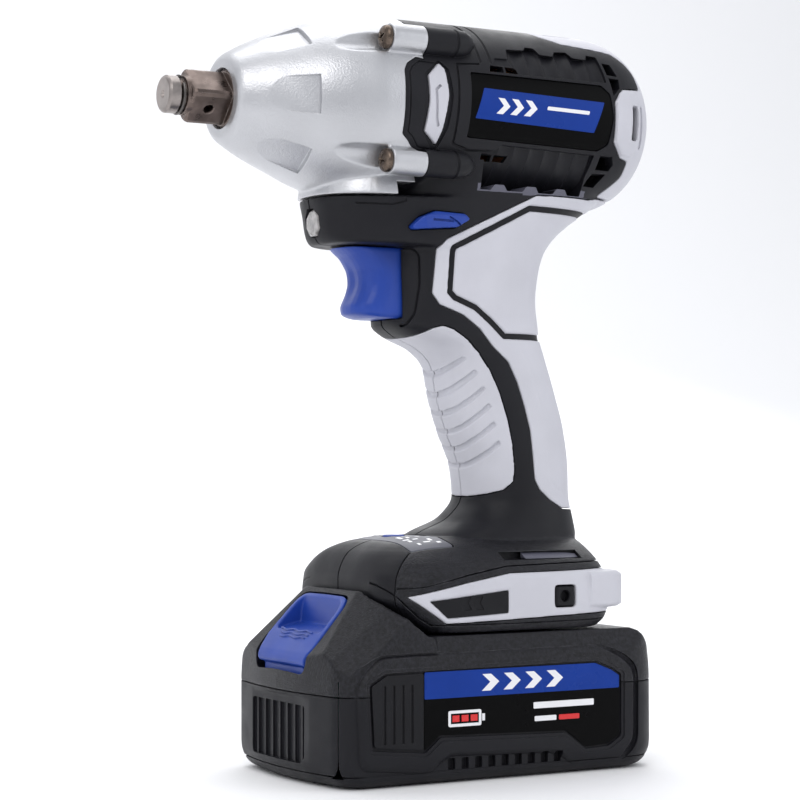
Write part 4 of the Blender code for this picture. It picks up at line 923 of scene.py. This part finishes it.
# ---------------------------------------------------------------- hammer case
def make_case():
    form = turned([(66.5, 0)] + round_profile(CASE, 1.0) + [(8.6, 0)], 128)
    skirt = fine_rows([(183.9, 35.9, 22.4, 2.6), (187, 35.6, 21.6, 2.6), (192, 33, 20, 2.4), (197, 28, 16, 2.2)], 1.0)
    fuse(form, loft([oval(xf, -30, w, z, n, 64) for z, xf, w, n in skirt]))
    for y, z in BOSSES:
        fuse(form, rod((8.0, y, z), (20.6, y, z), 4.5, 40))
    for y, z in BOSSES:
        cut(form, rod((20.7, y, z), (46, y, z), 4.4, 36, r2=5.5, turn=0.1))
    windows = []
    for degrees in (0, 57, -57, 180, 123, 237):
        turn = Matrix.Rotation(math.radians(degrees), 3, "X")
        rings = []
        for x, low, high, half in ((43.4, 22.6, 30, 6.1), (60.5, 17.2, 24, 4.6)):
            rings.append([turn @ Vector((x, low, -half)) + Vector((0, 0, AXIS_Z)), turn @ Vector((x, high, -half)) + Vector((0, 0, AXIS_Z)),
                          turn @ Vector((x, high, half)) + Vector((0, 0, AXIS_Z)), turn @ Vector((x, low, half)) + Vector((0, 0, AXIS_Z))])
        windows.append(loft(rings))
    moulded(form, 0.42, 5)
    for window in windows:
        cut(form, window)
    meet(form, prism(CASE_SIDE, -50, 50))
    fuse(form, turned([(9.6, 22.4), (9.6, 25.8), (1.5, 25.8), (1.5, 22.4)], 48, turn=0.07))
    for side in (1, -1):
        tab = prism(rounded(offset(TAB, GAP), 0.5, 2), 10 * side, 45 * side)
        cut(tab, turned([(-5, 0), (-5, 26.2), (30, 26.2), (30, 0)], 64, turn=0.03))
        cut(form, tab)
    cut(form, turned([(67, 0), (67, 9.9), (66.2, 9.5), (62, 9.5), (62, 12.3), (44.4, 12.3), (44, 19.4), (40, 22), (31, 23.2), (1, 23.2), (1, 0)], 64, turn=0.05))
    for y, z in BOSSES:
        cut(form, rod((0, y, z), (25, y, z), 2.0, 16, turn=0.15))
    return largest_only(form)


piece(make_case(), "cast_case", SILVER, "root", ("hammer_case",), angle=34)


def phillips(p, d, r, height, shank, name, slot_turn=0.0):
    """A pan-head screw: head at p, pointing out along d, with a cross recess."""
    p, d = Vector(p), Vector(d).normalized()
    u = d.orthogonal().normalized() if abs(d.x) < 0.99 else Vector((0, 1, 0))
    v = d.cross(u)
    u, v = (u * math.cos(slot_turn) + v * math.sin(slot_turn)), (-u * math.sin(slot_turn) + v * math.cos(slot_turn))
    profile = [(-shank, 0), (-shank, 1.6), (0, 1.6), (0, r)] + [(height * (0.25 + 0.75 * math.sin(a)), r * (0.28 + 0.72 * math.cos(a))) for a in np.linspace(0.05, math.pi / 2, 8)] + [(height, 0)]
    segs = 48
    rings = []
    for h, radius in profile[1:-1]:
        rings.append([p + d * h + radius * (u * math.cos(2 * math.pi * k / segs) + v * math.sin(2 * math.pi * k / segs)) for k in range(segs)])
    made = loft(rings)
    for a, b in ((u, v), (v, u)):
        corners = []
        for h, half, length in ((height - 1.5, 0.22, 0.9), (height + 0.4, 0.42, 2.1)):
            corners.append([p + d * h + a * (s * half) + b * (t * length) for s, t in ((1, 1), (-1, 1), (-1, -1), (1, -1))])
        cut(made, loft(corners))
    return made


for k, (y, z) in enumerate(((SCREW_Y, AXIS_Z + SCREW_DZ), (SCREW_Y, AXIS_Z - SCREW_DZ), (-SCREW_Y, AXIS_Z + SCREW_DZ), (-SCREW_Y, AXIS_Z - SCREW_DZ))):
    piece(phillips((20.75, y, z), (1, 0, 0), 3.8, 2.3, 26, "s", 0.35 + 0.9 * k), f"case_bolt_{k + 1}", SCREW, "root", (f"case_screw_{k + 1}",), 40)
for k, (x, z, depth) in enumerate(SCREWS_RIGHT):
    piece(phillips((x, -depth + 2.6, z), (0, -1, 0), 2.85, 2.0, depth - 7.4, "s", 0.5 + 0.7 * k), f"shell_bolt_{k + 1}", SCREW, "root", (f"housing_screw_{k + 1}",), 40)


# ---------------------------------------------------------------- drive
def make_anvil():
    anvil = turned([(66, 0), (66, 8.5), (65.4, 9.1), (64.5, 9.1), (64.5, 8.6), (43, 8.6), (42.6, 10), (42.2, 11), (37.4, 11), (37.4, 5.3), (50, 5.3), (50, 0)], 72)
    for angle in (0, math.pi):
        ear = block(37.4, 42.2, 9, 18, AXIS_Z - 4.4, AXIS_Z + 4.4)
        ear.data.transform(Matrix.Translation((0, 0, AXIS_Z * 0.001)) @ Matrix.Rotation(angle, 4, "X") @ Matrix.Translation((0, 0, -AXIS_Z * 0.001)))
        fuse(anvil, ear)
    h, c = SQUARE / 2, 1.6
    square = []
    for sy, sz in ((1, 1), (-1, 1), (-1, -1), (1, -1)):
        corner = [(h * sy, (h - c) * sz), ((h - c * 0.3) * sy, (h - c * 0.3) * sz), ((h - c) * sy, h * sz)]
        square += corner if sy * sz > 0 else corner[::-1]
    square = [((y - z) * math.sqrt(0.5), (y + z) * math.sqrt(0.5)) for y, z in square]
    rings = [[(x, y * f, z * f + AXIS_Z) for y, z in square] for x, f in ((64.6, 1.0), (77.8, 1.0), (78.6, 0.965), (79.1, 0.90))]
    fuse(anvil, loft(rings))
    fuse(anvil, turned([(86, 0), (86, 4.9), (85.7, 5.45), (85.2, 5.85), (82.2, 5.9), (82.2, 5.0), (80, 5.0), (80, 6.1), (78.6, 6.35), (78, 6.35), (78, 0)], 72, turn=0.08))
    cut(anvil, rod((86.5, 0, AXIS_Z), (84.6, 0, AXIS_Z), 1.7, 32, r2=0.3))
    cut(anvil, rod((72.5, 9, AXIS_Z - 9), (72.5, 1, AXIS_Z - 1), 1.5, 28))
    cut(anvil, rod((72.5, 5.0, AXIS_Z - 5.0), (72.5, 4.1, AXIS_Z - 4.1), 2.3, 28, r2=1.4))
    return anvil


tip = piece(make_anvil(), "drive_square", STEEL, "anvil", ("anvil",), 18)
tip.data.materials.append(STEEL_TIP)
centres = np.zeros(len(tip.data.polygons) * 3)
tip.data.polygons.foreach_get("center", centres)
tip.data.polygons.foreach_set("material_index", (centres.reshape(-1, 3)[:, 0] > 0.0822).astype(np.int32))
ring_points = [(x, r) for x, r in ((0.55, 0.0), (0.4, 0.4), (0.0, 0.55), (-0.4, 0.4), (-0.55, 0.0), (-0.4, -0.4), (0.0, -0.55), (0.4, -0.4))]
rings = []
for k in range(49):
    a = math.radians(70 + 320 * k / 48)
    rings.append([(81.1 + dx, (5.72 + dr) * math.cos(a), AXIS_Z + (5.72 + dr) * math.sin(a)) for dx, dr in ring_points])
piece(loft(rings), "snap_ring", STEEL_DARK, "anvil", ("friction_ring",), 40)


# ---------------------------------------------------------------- trigger, selector, lamp, panel
def make_trigger():
    rows = [(145.5, 18.6, 8.2), (146.0, 20.2, 9.2), (147.0, 21.9, 9.8), (149.2, 22.2, 10), (151.5, 21.3, 10), (154, 20.2, 10), (157.2, 19.5, 10),
            (160.4, 19.9, 10), (163, 21.2, 10), (165.1, 22.7, 10), (167, 25, 10), (168.1, 26.3, 9.7)]
    rings = []
    for z, xf, w in fine_rows(rows, 0.5):
        hollow = 0.9 * math.exp(-((z - 157) / 7.0) ** 2)
        half = [(2, w - 0.5), (xf - 9.0, w), (xf - 6.5, w - 0.15), (xf - 4.6, w - 0.7), (xf - 3.0, w - 1.7), (xf - 1.7, w - 3.2), (xf - 0.8, w - 5.0), (xf - 0.25 - hollow * 0.3, w - 7.2), (xf - hollow, 0)]
        rings.append([(x_, y_, z) for x_, y_ in half] + [(x_, -y_, z) for x_, y_ in reversed(half[:-1])])
    made = moulded(loft(rings), 0.35, 6)
    fuse(made, block(-12, 3, -2.6, 2.6, 155.4, 160.6, bevel=0.3, segments=1))
    return made


piece(make_trigger(), "trigger_lever", BLUE, "trigger", ("trigger",), 40)


def make_selector():
    made = prism(rounded(SELECTOR, 0.5, 2), -24, 24)
    for side in (1, -1):
        # bevelled face: top and front fall away
        top = loft([[(x, y * side, z) for x, y, z in ring] for ring in (
            [(-20, 22.0, 181), (20, 22.0, 181), (20, 26, 181), (-20, 26, 181)],
            [(-20, 24.6, 176.6), (20, 24.6, 176.6), (20, 26, 176.6), (-20, 26, 176.6)])])
        cut(made, top)
        front = loft([[(x, y * side, z) for x, y, z in ring] for ring in (
            [(12, 21.4, 170), (12, 21.4, 182), (12, 27, 182), (12, 27, 170)],
            [(4.2, 24.3, 170), (6.6, 24.3, 182), (6.6, 27, 182), (4.2, 27, 170)])])
        cut(made, front)
    moulded(made, 0.3, 2)
    for side in (1, -1):
        for line, width in (([(3.4, 176.2), (-4.2, 176.0)], 0.7), ([(-2.6, 177.3), (-5.2, 176.0), (-6.6, 174.9)], 0.7)):
            cut(made, prism(stroke(line, width), *sorted((23.2 * side, 26 * side))))
    cut(made, block(-20, 20, -18.5, 18.5, 177.2, 182), block(-20, 20, -18.5, 18.5, 170, 174.6))
    cut(made, block(-12, -7, -18.5, 18.5, 170, 182), block(6.5, 12, -18.5, 18.5, 170, 182))
    return largest_only(made)


piece(make_selector(), "direction_slider", BLUE, "selector", ("direction_selector",), 35)


def make_lens():
    made = plate([(4.55 * math.cos(a), 175.6 + 4.55 * math.sin(a)) for a in EIGHTHS], 31.8, 33.5)
    dome = loft([[(x, r * math.cos(a), 175.6 + r * math.sin(a)) for a in EIGHTHS] for x, r in ((33.4, 4.55), (34.0, 4.35), (34.3, 3.9))])
    fuse(made, dome)
    cut(made, rod((31.0, 0, 175.6), (33.2, 0, 175.6), 2.6, 32, r2=2.2))
    return made


piece(make_lens(), "lamp_lens", LENS, "root", ("led_lens",), 35)
lamp = rod((31.35, 0, 175.7), (32.3, 0, 175.7), 1.5, 24, r2=1.2)
piece(lamp, "lamp_chip", LAMP, "root")

panel = meet(plan(rounded(PANEL_AREA, 1.0), 66, 80), OUTER, keep=True)
cut(panel, body_form(1.7, m=40, segs=64, step=4.0))
cut(panel, rod(KEY - Vector((0, 0, 5)), KEY + Vector((0, 0, 4)), 4.0, 48))
piece(panel, "membrane_panel", MEMBRANE, "root", ("control_panel",), 30)
marks = []
for side in (1, -1):
    for x, y, w, h in ((8.6, 8.2, 1.1, 3.2), (6.4, 8.0, 1.0, 1.2), (6.4, 10.4, 1.0, 1.6), (9.2, 13.6, 2.2, 1.0), (8.4, 15.4, 1.0, 1.8), (5.8, 14.0, 1.8, 0.9), (2.2, 9.0, 1.0, 2.4),
                       (0.4, 12.4, 1.6, 1.0), (1.6, 15.6, 1.2, 2.2), (4.4, 18.4, 2.4, 0.9), (7.4, 19.6, 1.0, 1.6), (0.2, 19.4, 1.4, 1.4)):
        marks.append(plan([(x, y * side), (x - w, y * side), (x - w, (y + h) * side), (x, (y + h) * side)], 68, 80))
marks = merged(marks)
cut(marks, body_form(0.35, m=96, segs=64, step=1.5))
meet(marks, body_form(-0.07, m=96, segs=64, step=1.5))
piece(marks, "panel_marks", LABEL_WHITE, "root", (), 30)


def make_button():
    profile = [(-1.2, 3.6), (0.1, 3.6), (0.32, 3.45), (0.45, 3.1), (0.5, 2.7)]
    rings = [[(KEY.x + r * math.cos(2 * math.pi * k / 48), r * math.sin(2 * math.pi * k / 48), KEY.z + h) for k in range(48)] for h, r in profile]
    made = loft(rings)
    fuse(made, rod(KEY - Vector((0, 0, 3)), KEY - Vector((0, 0, 1)), 1.3, 20))
    return made


piece(make_button(), "mode_key", BLUE, "mode_button", ("mode_button",), 35)
arrow = []
for t in (-1.7, 1.7):
    arrow.append(plan([(KEY.x + a * 0.9, t + b * 0.9) for a, b in ((-1.1, -0.35), (0.0, -0.35), (0.0, -0.9), (1.2, 0), (0.0, 0.9), (0.0, 0.35), (-1.1, 0.35))], KEY.z + 0.47, KEY.z + 0.54))
piece(merged(arrow), "mode_mark", LABEL_WHITE, "mode_button", (), 30)


def make_nut(side):
    x, z = NUT_AT
    made = moulded(block(x - 3.8, x + 3.8, 34, 37.2, z - 3.3, z + 3.3, bevel=0.9), 0.3, 2)
    cut(made, rod((x, 34.9, z), (x, 40, z), 1.7, 32, turn=0.2))
    cut(made, rod((x, 36.6, z), (x, 38, z), 1.6, 32, r2=2.6))
    return made


two_sided(lambda: make_nut(1), "hook_seat", BLACK_SMOOTH, "hook_nut", angle=35)
# the grey bar seen in the foot's slot
bar = []
for side in (1, -1):
    bar.append(block(-47.6, -26.5, *sorted((27.2 * side, 33.4 * side)), 68.5, 70.6, bevel=0.3, segments=2))
for b in bar:
    meet(b, body_form(0.6, m=64, segs=48, step=2.5))
piece(merged(bar), "slot_bar", TEETH_HIGHLIGHT_AND_BAR, "root", (), 35)


# ---------------------------------------------------------------- battery
def slope(s, h):
    top, foot = Vector((27.4, 59.4)), Vector((46.4, 38.6))
    along = (foot - top).normalized()
    out = Vector((-along.y, along.x))
    p = top + along * s + out * h
    return (p.x, p.y)


def sloped(outline, low, high):
    """An outline of (down the slope, across) points extruded square to the slope."""
    return loft([[(slope(a, h)[0], b, slope(a, h)[1]) for a, b in outline] for h in (low, high)])


def pack_ring(z, d, fine=True):
    w = PACK_W + 0.2 - d
    side = [(47.5 - d, 0.0), (47.35 - d, 6 * w / 38.2), (47.0 - d, 12 * w / 38.2), (46.5 - d, 17 * w / 38.2), (45.8 - d, 22 * w / 38.2)]
    for k in range(10):
        a = math.radians(8 + 82 * k / 9)
        r = 9 - d * 0.4
        side.append((44.6 - d - r + r * math.cos(a), w - r + r * math.sin(a)))
    for k in range(12):
        a = math.radians(90 + 90 * k / 11)
        r = 13 - d * 0.4
        side.append((-76 + d + r + r * math.cos(a), w - r + r * math.sin(a)))
    return [(x, y, z) for x, y in side] + [(x, -y, z) for x, y in reversed(side[1:])]


def pack_solid():
    """The whole battery's outside as one soft form: lower tub, brow over the side panels, sloped front."""
    rows = [(0.05, 7.0), (0.5, 4.8), (1.3, 3.2), (2.6, 2.0), (4.4, 1.1), (6.6, 0.5), (9, 0.35), (28, 0.35)]
    low = loft([pack_ring(z, d) for z, d in rows])
    side = [(-78, 27), (-78, 33.5), (-75.2, 36.0), (-73.8, 38.5), (-70, 42.4), (-67, 44.6), (-64, DECK_Z), (12.7, DECK_Z), (17.1, 49), (22.4, 53.7),
            (25.9, 57.7), (26.3, 59.1), (27.4, 59.4), (46.4, 38.6), (47.5, 36.4), (52, 27)]
    high = prism(side, -40, 40)
    meet(high, loft([pack_ring(z, d) for z, d in ((26, 0.35), (30, 0.35), (34, 0.5), (38, 0.8), (42, 1.1), (46, 1.5), (54, 2.0), (62, 2.6))]))
    # side shoulders above the brow
    for s in (1, -1):
        wedge = [(38.8 * s, 37.4), (36.6 * s, 40.2), (35.6 * s, 43.2), (34.9 * s, 46.4), (50 * s, 46.4), (50 * s, 37.4)]
        cut(high, plate(wedge, -90, 10))
        front = loft([[(x, y * s, z) for x, y, z in ring] for ring in (
            [(9, 38.9, 37.4), (9, 34.9, 46.4), (9, 50, 46.4), (9, 50, 37.4)],
            [(24, 38.9, 46), (24, 37.4, 58), (24, 50, 58), (24, 50, 46)])])
        cut(high, front)
        # diagonal facets each side of the latch, meeting the sides along a ridge
        for at, normal in (((23.2, 30, 54.6), (0.550, 0.443, 0.708)), ((23.2, 30, 54.6), (0.489, 0.604, 0.629))):
            n = Vector((normal[0], normal[1] * s, normal[2])).normalized()
            u = n.orthogonal().normalized()
            v = n.cross(u)
            base = Vector((at[0], at[1] * s, at[2]))
            cut(high, loft([[base + n * h + u * (60 * a) + v * (60 * b) for a, b in ((1, 1), (-1, 1), (-1, -1), (1, -1))] for h in (0, 60)]))
    fuse(low, high)
    # the front sits back between the corner columns
    cut(low, plate(rounded([(-26.5, 7.4), (26.5, 7.4), (28.6, 9.4), (29.4, 27.2), (-29.4, 27.2), (-28.6, 9.4)], 1.0), 45.75, 60))
    moulded(low, 0.5, 6)
    return low


def rim_line(grow):
    """The outline of the raised rim round a side panel."""
    return rounded(offset([(36.6, 28), (35.2, 33.4), (29.8, 38.4), (-49.6, 38.9), (-58.2, 35.4), (-62.6, 31.6), (-62.4, 9.4), (-56.4, 4.6), (-42.8, 3.7), (-33.8, 9.0),
                           (6.8, 10.4), (13.0, 5.6), (35.6, 7.6)], grow), 3.5, 6)


PACK = pack_solid()
for s in (1, -1):
    # step down outside the rim, recess inside it, and the slots under it
    span = lambda a, b: sorted((a * s, b * s))
    ring_out = rounded([(60, 30), (60, 35.2), (38, 36.5), (31.4, 40.8), (-50.6, 41.2), (-60.8, 37.2), (-65.4, 32.6), (-65.2, 8.2), (-58.2, 1.6), (-41.8, 0.9), (-32.8, 3.2),
                        (5.8, 3.4), (12.4, 1.6), (34.0, 2.6), (60, 4.6)], 4.0, 6)
    ring_cut = prism(ring_out, *span(36.35, 60))
    rim = []
    for y, grow in ((36.0, 2.0), (36.9, 1.6), (38.6, -0.5)):
        rim.append([(x, y * s, z) for x, z in rim_line(grow)])
    cut(ring_cut, loft(rim))
    cut(PACK, ring_cut)
    cut(PACK, prism(rounded(offset(SIDE_PANEL, 0.2), 0.8, 3), *span(36.55, 60)))
    inner = prism(rounded(offset(SIDE_PANEL, 1.3), 1.2, 3), *span(37.45, 60))
    cut(PACK, inner)
    slots = []
    for k in range(9):
        x = 3.4 - 4.9 * k
        slots.append(prism(rounded([(x, 4.3), (x + 2.7, 4.3), (x + 2.7, 7.9), (x, 7.9)], 0.5, 2), *span(34.5, 60)))
    cut(PACK, merged(slots))
# front: vent grille, parting line, bottom lip line
vent = plate(rounded([(-19.4, 6.6), (14.6, 6.6), (16.4, 8.2), (16.6, 24.4), (-19.4, 24.4)], 1.2), 44.7, 60)
vent_ribs = [block(44.0, 45.55, -16.4 + 5.1 * k, -15.5 + 5.1 * k, 6.0, 25.0) for k in range(7)]
cut(vent, merged(vent_ribs))
cut(PACK, vent)


def tub_line(z0, z1, d):
    ring = loft([pack_ring(z, -6) for z in (z0, z1)])
    return cut(ring, loft([pack_ring(z, d) for z in (z0 - 1, z1 + 1)]))


cut(PACK, tub_line(PART_Z - 0.22, PART_Z + 0.22, 0.95))
cut(PACK, tub_line(3.9, 4.35, 2.0))
# latch well
cut(PACK, sloped(rounded([(2.2, -14.4), (1.9, 0), (2.2, 14.4), (6.0, 17.2), (20.0, 18.2), (24.0, 18.0), (31.5, 16.4), (31.5, -16.4), (24.0, -18.0), (20.0, -18.2), (6.0, -17.2)], 3.0, 6), -8.2, 7))
room = prism([(-72.6, 3.4), (-72.6, 34), (-63, 42.3), (14, 42.3), (19, 46.5), (26.5, 46.5), (37.5, 33), (43, 33), (43, 3.4)], -33.6, 33.6)
cut(PACK, room)
upper = copy_of(PACK)
meet(upper, block(-120, 120, -80, 80, PART_Z + 0.05, 80))
fuse(upper, block(-46, 15, -13.4, 13.4, 45, 50))
fuse(upper, block(-46, 24, -16.9, 16.9, 49.6, 52.9))
cut(upper, prism([(-60, 30), (-60, 42.2), (14, 42.2), (14, 30)], -20, 20))
slots = [block(-50, -27, y - 0.9, y + 0.9, 38, 56) for y in (-8, 0, 8)]
cut(upper, merged(slots))
lower = copy_of(PACK)
meet(lower, block(-120, 120, -80, 80, -5, PART_Z - 0.05))
drop(PACK)
piece(largest_only(upper), "pack_shell_top", BLACK_FOOT, "battery", ("battery_shell_upper",), 30)
piece(largest_only(lower), "pack_shell_base", BLACK, "battery", ("battery_shell_lower",), 30)


def make_latch():
    """Latch button: a frame round a finger pocket with an upright back, a ribbed ledge, a rounded nose and a tongue."""
    nose = [(43.2, 42.1), (44.7, 40.4), (45.6, 38.8), (45.8, 37.4), (45.3, 36.4), (44.2, 36.0)]
    outline = [slope(1.0, -7), slope(1.0, -0.1), slope(3.0, 0.25), slope(19.5, 0.3)] + nose + [(44.4, 35.4), (44.6, 32.9), (37.6, 32.9)]
    made = prism(outline, -17.8, 17.8)
    meet(made, sloped(rounded([(2.9, -13.8), (2.5, 0), (2.9, 13.8), (6.6, 16.5), (20.0, 17.5), (23.0, 17.2), (28.0, 15.6), (34, 15.4), (34, -15.4), (28.0, -15.6), (23.0, -17.2), (20.0, -17.5), (6.6, -16.5)], 3.0, 6), -14, 7))
    pocket = prism([slope(3.6, 5), (30.3, 60), (30.5, 47.9), (40.0, 45.9), (46, 47), (46, 60)], -15.4, 15.4)
    meet(pocket, sloped(rounded([(4.4, -12.6), (4.1, 0), (4.4, 12.6), (7.6, 14.6), (17.8, 15.2), (17.8, -15.2), (7.6, -14.6)], 2.4, 5), -14, 9))
    cut(made, pocket)
    for low, high in ((13.4, 20), (-20, -13.4)):
        cut(made, prism([(40, 30), (40, 36.1), (50, 36.1), (50, 30)], low, high))
    moulded(made, 0.3, 4)
    # three wavy ribs on the ledge
    for k in range(3):
        s_ = 17.9 + 1.3 * k
        line = [(s_ + 0.3 * math.sin(y * 0.75), y) for y in np.linspace(-11.0 + 1.4 * k, 11.0 - 1.4 * k, 25)]
        fuse(made, sloped(stroke(line, 0.5), -1.2, 0.62))
    return made


piece(make_latch(), "latch_button", BLUE, "latch", ("battery_latch",), 40)


def label_base():
    made = prism(rounded(LABEL_OUT, 0.6, 3), 36.8, 37.15)
    return made


def label_band():
    return prism(rounded([(14.9, 34.9), (-48.5, 34.9), (-54.9, 32.4), (-57.9, 30.5), (-57.9, 26.6), (14.9, 26.6)], 0.4, 2), 37.0, 37.2)


def label_white():
    marks = []
    for k in range(4):
        x = -6.0 - 8.0 * k
        marks.append(prism([(x, 33.4), (x - 3.2, 33.4), (x - 6.2, 30.9), (x - 3.0, 28.2), (x + 0.2, 28.2), (x - 2.9, 30.9)], 37.1, 37.24))
    # battery outline with terminal
    marks.append(prism(rounded([(6.4, 22.6), (-5.6, 22.6), (-5.6, 17.6), (6.4, 17.6)], 0.6, 2), 37.0, 37.24))
    marks.append(prism([(-5.9, 21.2), (-6.9, 21.2), (-6.9, 19.0), (-5.9, 19.0)], 37.0, 37.24))
    marks.append(prism(rounded([(-25.0, 23.6), (-48.0, 23.6), (-48.0, 21.6), (-25.0, 21.6)], 0.3, 2), 37.0, 37.24))
    marks.append(prism(rounded([(-25.4, 19.2), (-33.6, 19.2), (-33.6, 17.6), (-25.4, 17.6)], 0.3, 2), 37.0, 37.24))
    made = merged(marks)
    cut(made, prism([(5.5, 21.7), (-4.7, 21.7), (-4.7, 18.5), (5.5, 18.5)], 36.5, 38))
    return made


def label_red():
    marks = []
    for k in range(3):
        x = 4.9 - 3.3 * k
        marks.append(prism([(x, 21.1), (x - 2.5, 21.1), (x - 2.5, 19.1), (x, 19.1)], 37.0, 37.24))
    marks.append(prism(rounded([(-34.6, 19.2), (-42.4, 19.2), (-42.4, 17.6), (-34.6, 17.6)], 0.3, 2), 37.0, 37.24))
    return merged(marks)


def grip_block():
    """Ribbed block in front of the label."""
    made = prism(rounded([(33.6, 31.4), (28.4, 34.5), (15.4, 34.7), (15.4, 11.2), (32.6, 12.9)], 0.7, 3), 36.3, 37.5)
    cut(made, merged([block(19.0 + 3.2 * k, 19.9 + 3.2 * k, 37.05, 40, 13.6, 31.4) for k in range(4)]))
    return made


two_sided(label_base, "pack_label", LABEL, "battery_label", "battery", 35)
two_sided(label_band, "pack_label_band", LABEL_BLUE, None, "battery", 35)
two_sided(label_white, "pack_label_marks", LABEL_WHITE, None, "battery", 35)
two_sided(label_red, "pack_label_bars", LABEL_RED, None, "battery", 35)
two_sided(grip_block, "pack_ribs", BLACK_SMOOTH, None, "battery", 35)

drop(OUTER)

# ---------------------------------------------------------------- carried-over nodes keep their CAD shape and get finishes
FINISHES = {
    "hammer": STEEL_DARK, "spindle": BRIGHT, "cam_ball_1": BRIGHT, "cam_ball_2": BRIGHT, "hammer_spring": BRIGHT, "ring_gear": STEEL_DARK,
    "planet_gear_1": BRIGHT, "planet_gear_2": BRIGHT, "planet_gear_3": BRIGHT, "nose_bushing": BRONZE, "gearbox_plate": NYLON, "motor_stator": COPPER,
    "rotor": BRIGHT, "fan": BLACK_SMOOTH, "rear_bearing": BRIGHT, "switch_body": BLACK_SMOOTH, "trigger_spring": BRIGHT, "controller_board": BOARD,
    "terminal_block": NYLON, "led_board": BOARD, "battery_cells": CELL, "battery_board": BOARD,
}
for node, material in FINISHES.items():
    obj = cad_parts[node]
    obj.data.materials.clear()
    obj.data.materials.append(material)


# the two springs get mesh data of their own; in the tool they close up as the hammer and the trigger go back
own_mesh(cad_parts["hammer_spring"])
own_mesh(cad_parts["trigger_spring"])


# ---------------------------------------------------------------- stage, light and camera
def stage_material(name, colour, rough):
    made = bpy.data.materials.new(name)
    made.use_nodes = True
    shader = made.node_tree.nodes["Principled BSDF"]
    shader.inputs["Base Color"].default_value = (*colour, 1)
    shader.inputs["Roughness"].default_value = rough
    return made


bm = bmesh.new()
front, back, top, bend = 2.2, -1.5, 2.6, 1.1
profile = [(front, 0.0)] + [(back + bend - bend * math.sin(a), bend - bend * math.cos(a)) for a in np.linspace(0, math.pi / 2, 24)] + [(back, top)]
rows = [[bm.verts.new((x, y, z)) for y, z in profile] for x in (-4.0, 4.0)]
for k in range(len(profile) - 1):
    bm.faces.new((rows[0][k], rows[0][k + 1], rows[1][k + 1], rows[1][k]))
mesh = bpy.data.meshes.new("backdrop")
bm.to_mesh(mesh)
bm.free()
floor = bpy.data.objects.new("backdrop", mesh)
bpy.context.scene.collection.objects.link(floor)
for polygon in mesh.polygons:
    polygon.use_smooth = True
mesh.materials.append(stage_material("pale_paper", (0.90, 0.90, 0.905), 0.8))

world = bpy.data.worlds.new("studio")
bpy.context.scene.world = world
world.use_nodes = True
world.node_tree.nodes["Background"].inputs["Color"].default_value = (0.93, 0.95, 1.0, 1)
world.node_tree.nodes["Background"].inputs["Strength"].default_value = 0.74


def softbox(name, location, target, size, power, colour=(1, 1, 1)):
    light = bpy.data.lights.new(name, "AREA")
    light.shape = "RECTANGLE"
    light.size, light.size_y = size
    light.energy = power
    light.color = colour
    obj = bpy.data.objects.new(name, light)
    bpy.context.scene.collection.objects.link(obj)
    obj.location = location
    obj.rotation_euler = (Vector(target) - Vector(location)).to_track_quat("-Z", "Y").to_euler()


AIM = (0.0, 0.0, 0.13)
softbox("key", (0.55, 0.75, 0.95), AIM, (0.7, 0.7), 4.6, (1.0, 0.985, 0.97))
softbox("side", (-0.85, 0.75, 0.45), AIM, (0.6, 0.9), 2.0, (0.97, 0.98, 1.0))
softbox("front", (1.0, 0.25, 0.35), AIM, (0.5, 0.8), 0.8)
softbox("top", (-0.1, -0.15, 1.2), AIM, (0.9, 0.6), 3.0)
softbox("rim", (-0.6, -0.8, 0.7), AIM, (0.6, 0.8), 3.0)
softbox("behind", (0.1, -0.75, 1.6), (0.0, -1.5, 0.5), (2.2, 0.8), 9.0)

camera = bpy.data.cameras.new("camera")
camera.lens = 102.73
camera.sensor_width = 36.0
camera.clip_start = 0.01
camera.clip_end = 50.0
view = bpy.data.objects.new("camera", camera)
bpy.context.scene.collection.objects.link(view)
yaw, pitch, roll = (math.radians(v) for v in (29.8456627, 1.3745512, -0.1144074))
ahead = Vector((-math.sin(yaw) * math.cos(pitch), -math.cos(yaw) * math.cos(pitch), math.sin(pitch)))
right = Vector((-math.cos(yaw), math.sin(yaw), 0.0))
up = right.cross(ahead)
right, up = right * math.cos(roll) + up * math.sin(roll), up * math.cos(roll) - right * math.sin(roll)
turn = Matrix((right, up, -ahead)).transposed().to_4x4()
view.matrix_world = Matrix.Translation((0.3710701, 0.6431702, 0.1017833)) @ turn
bpy.context.scene.camera = view
bpy.context.scene.view_settings.view_transform = "Standard"
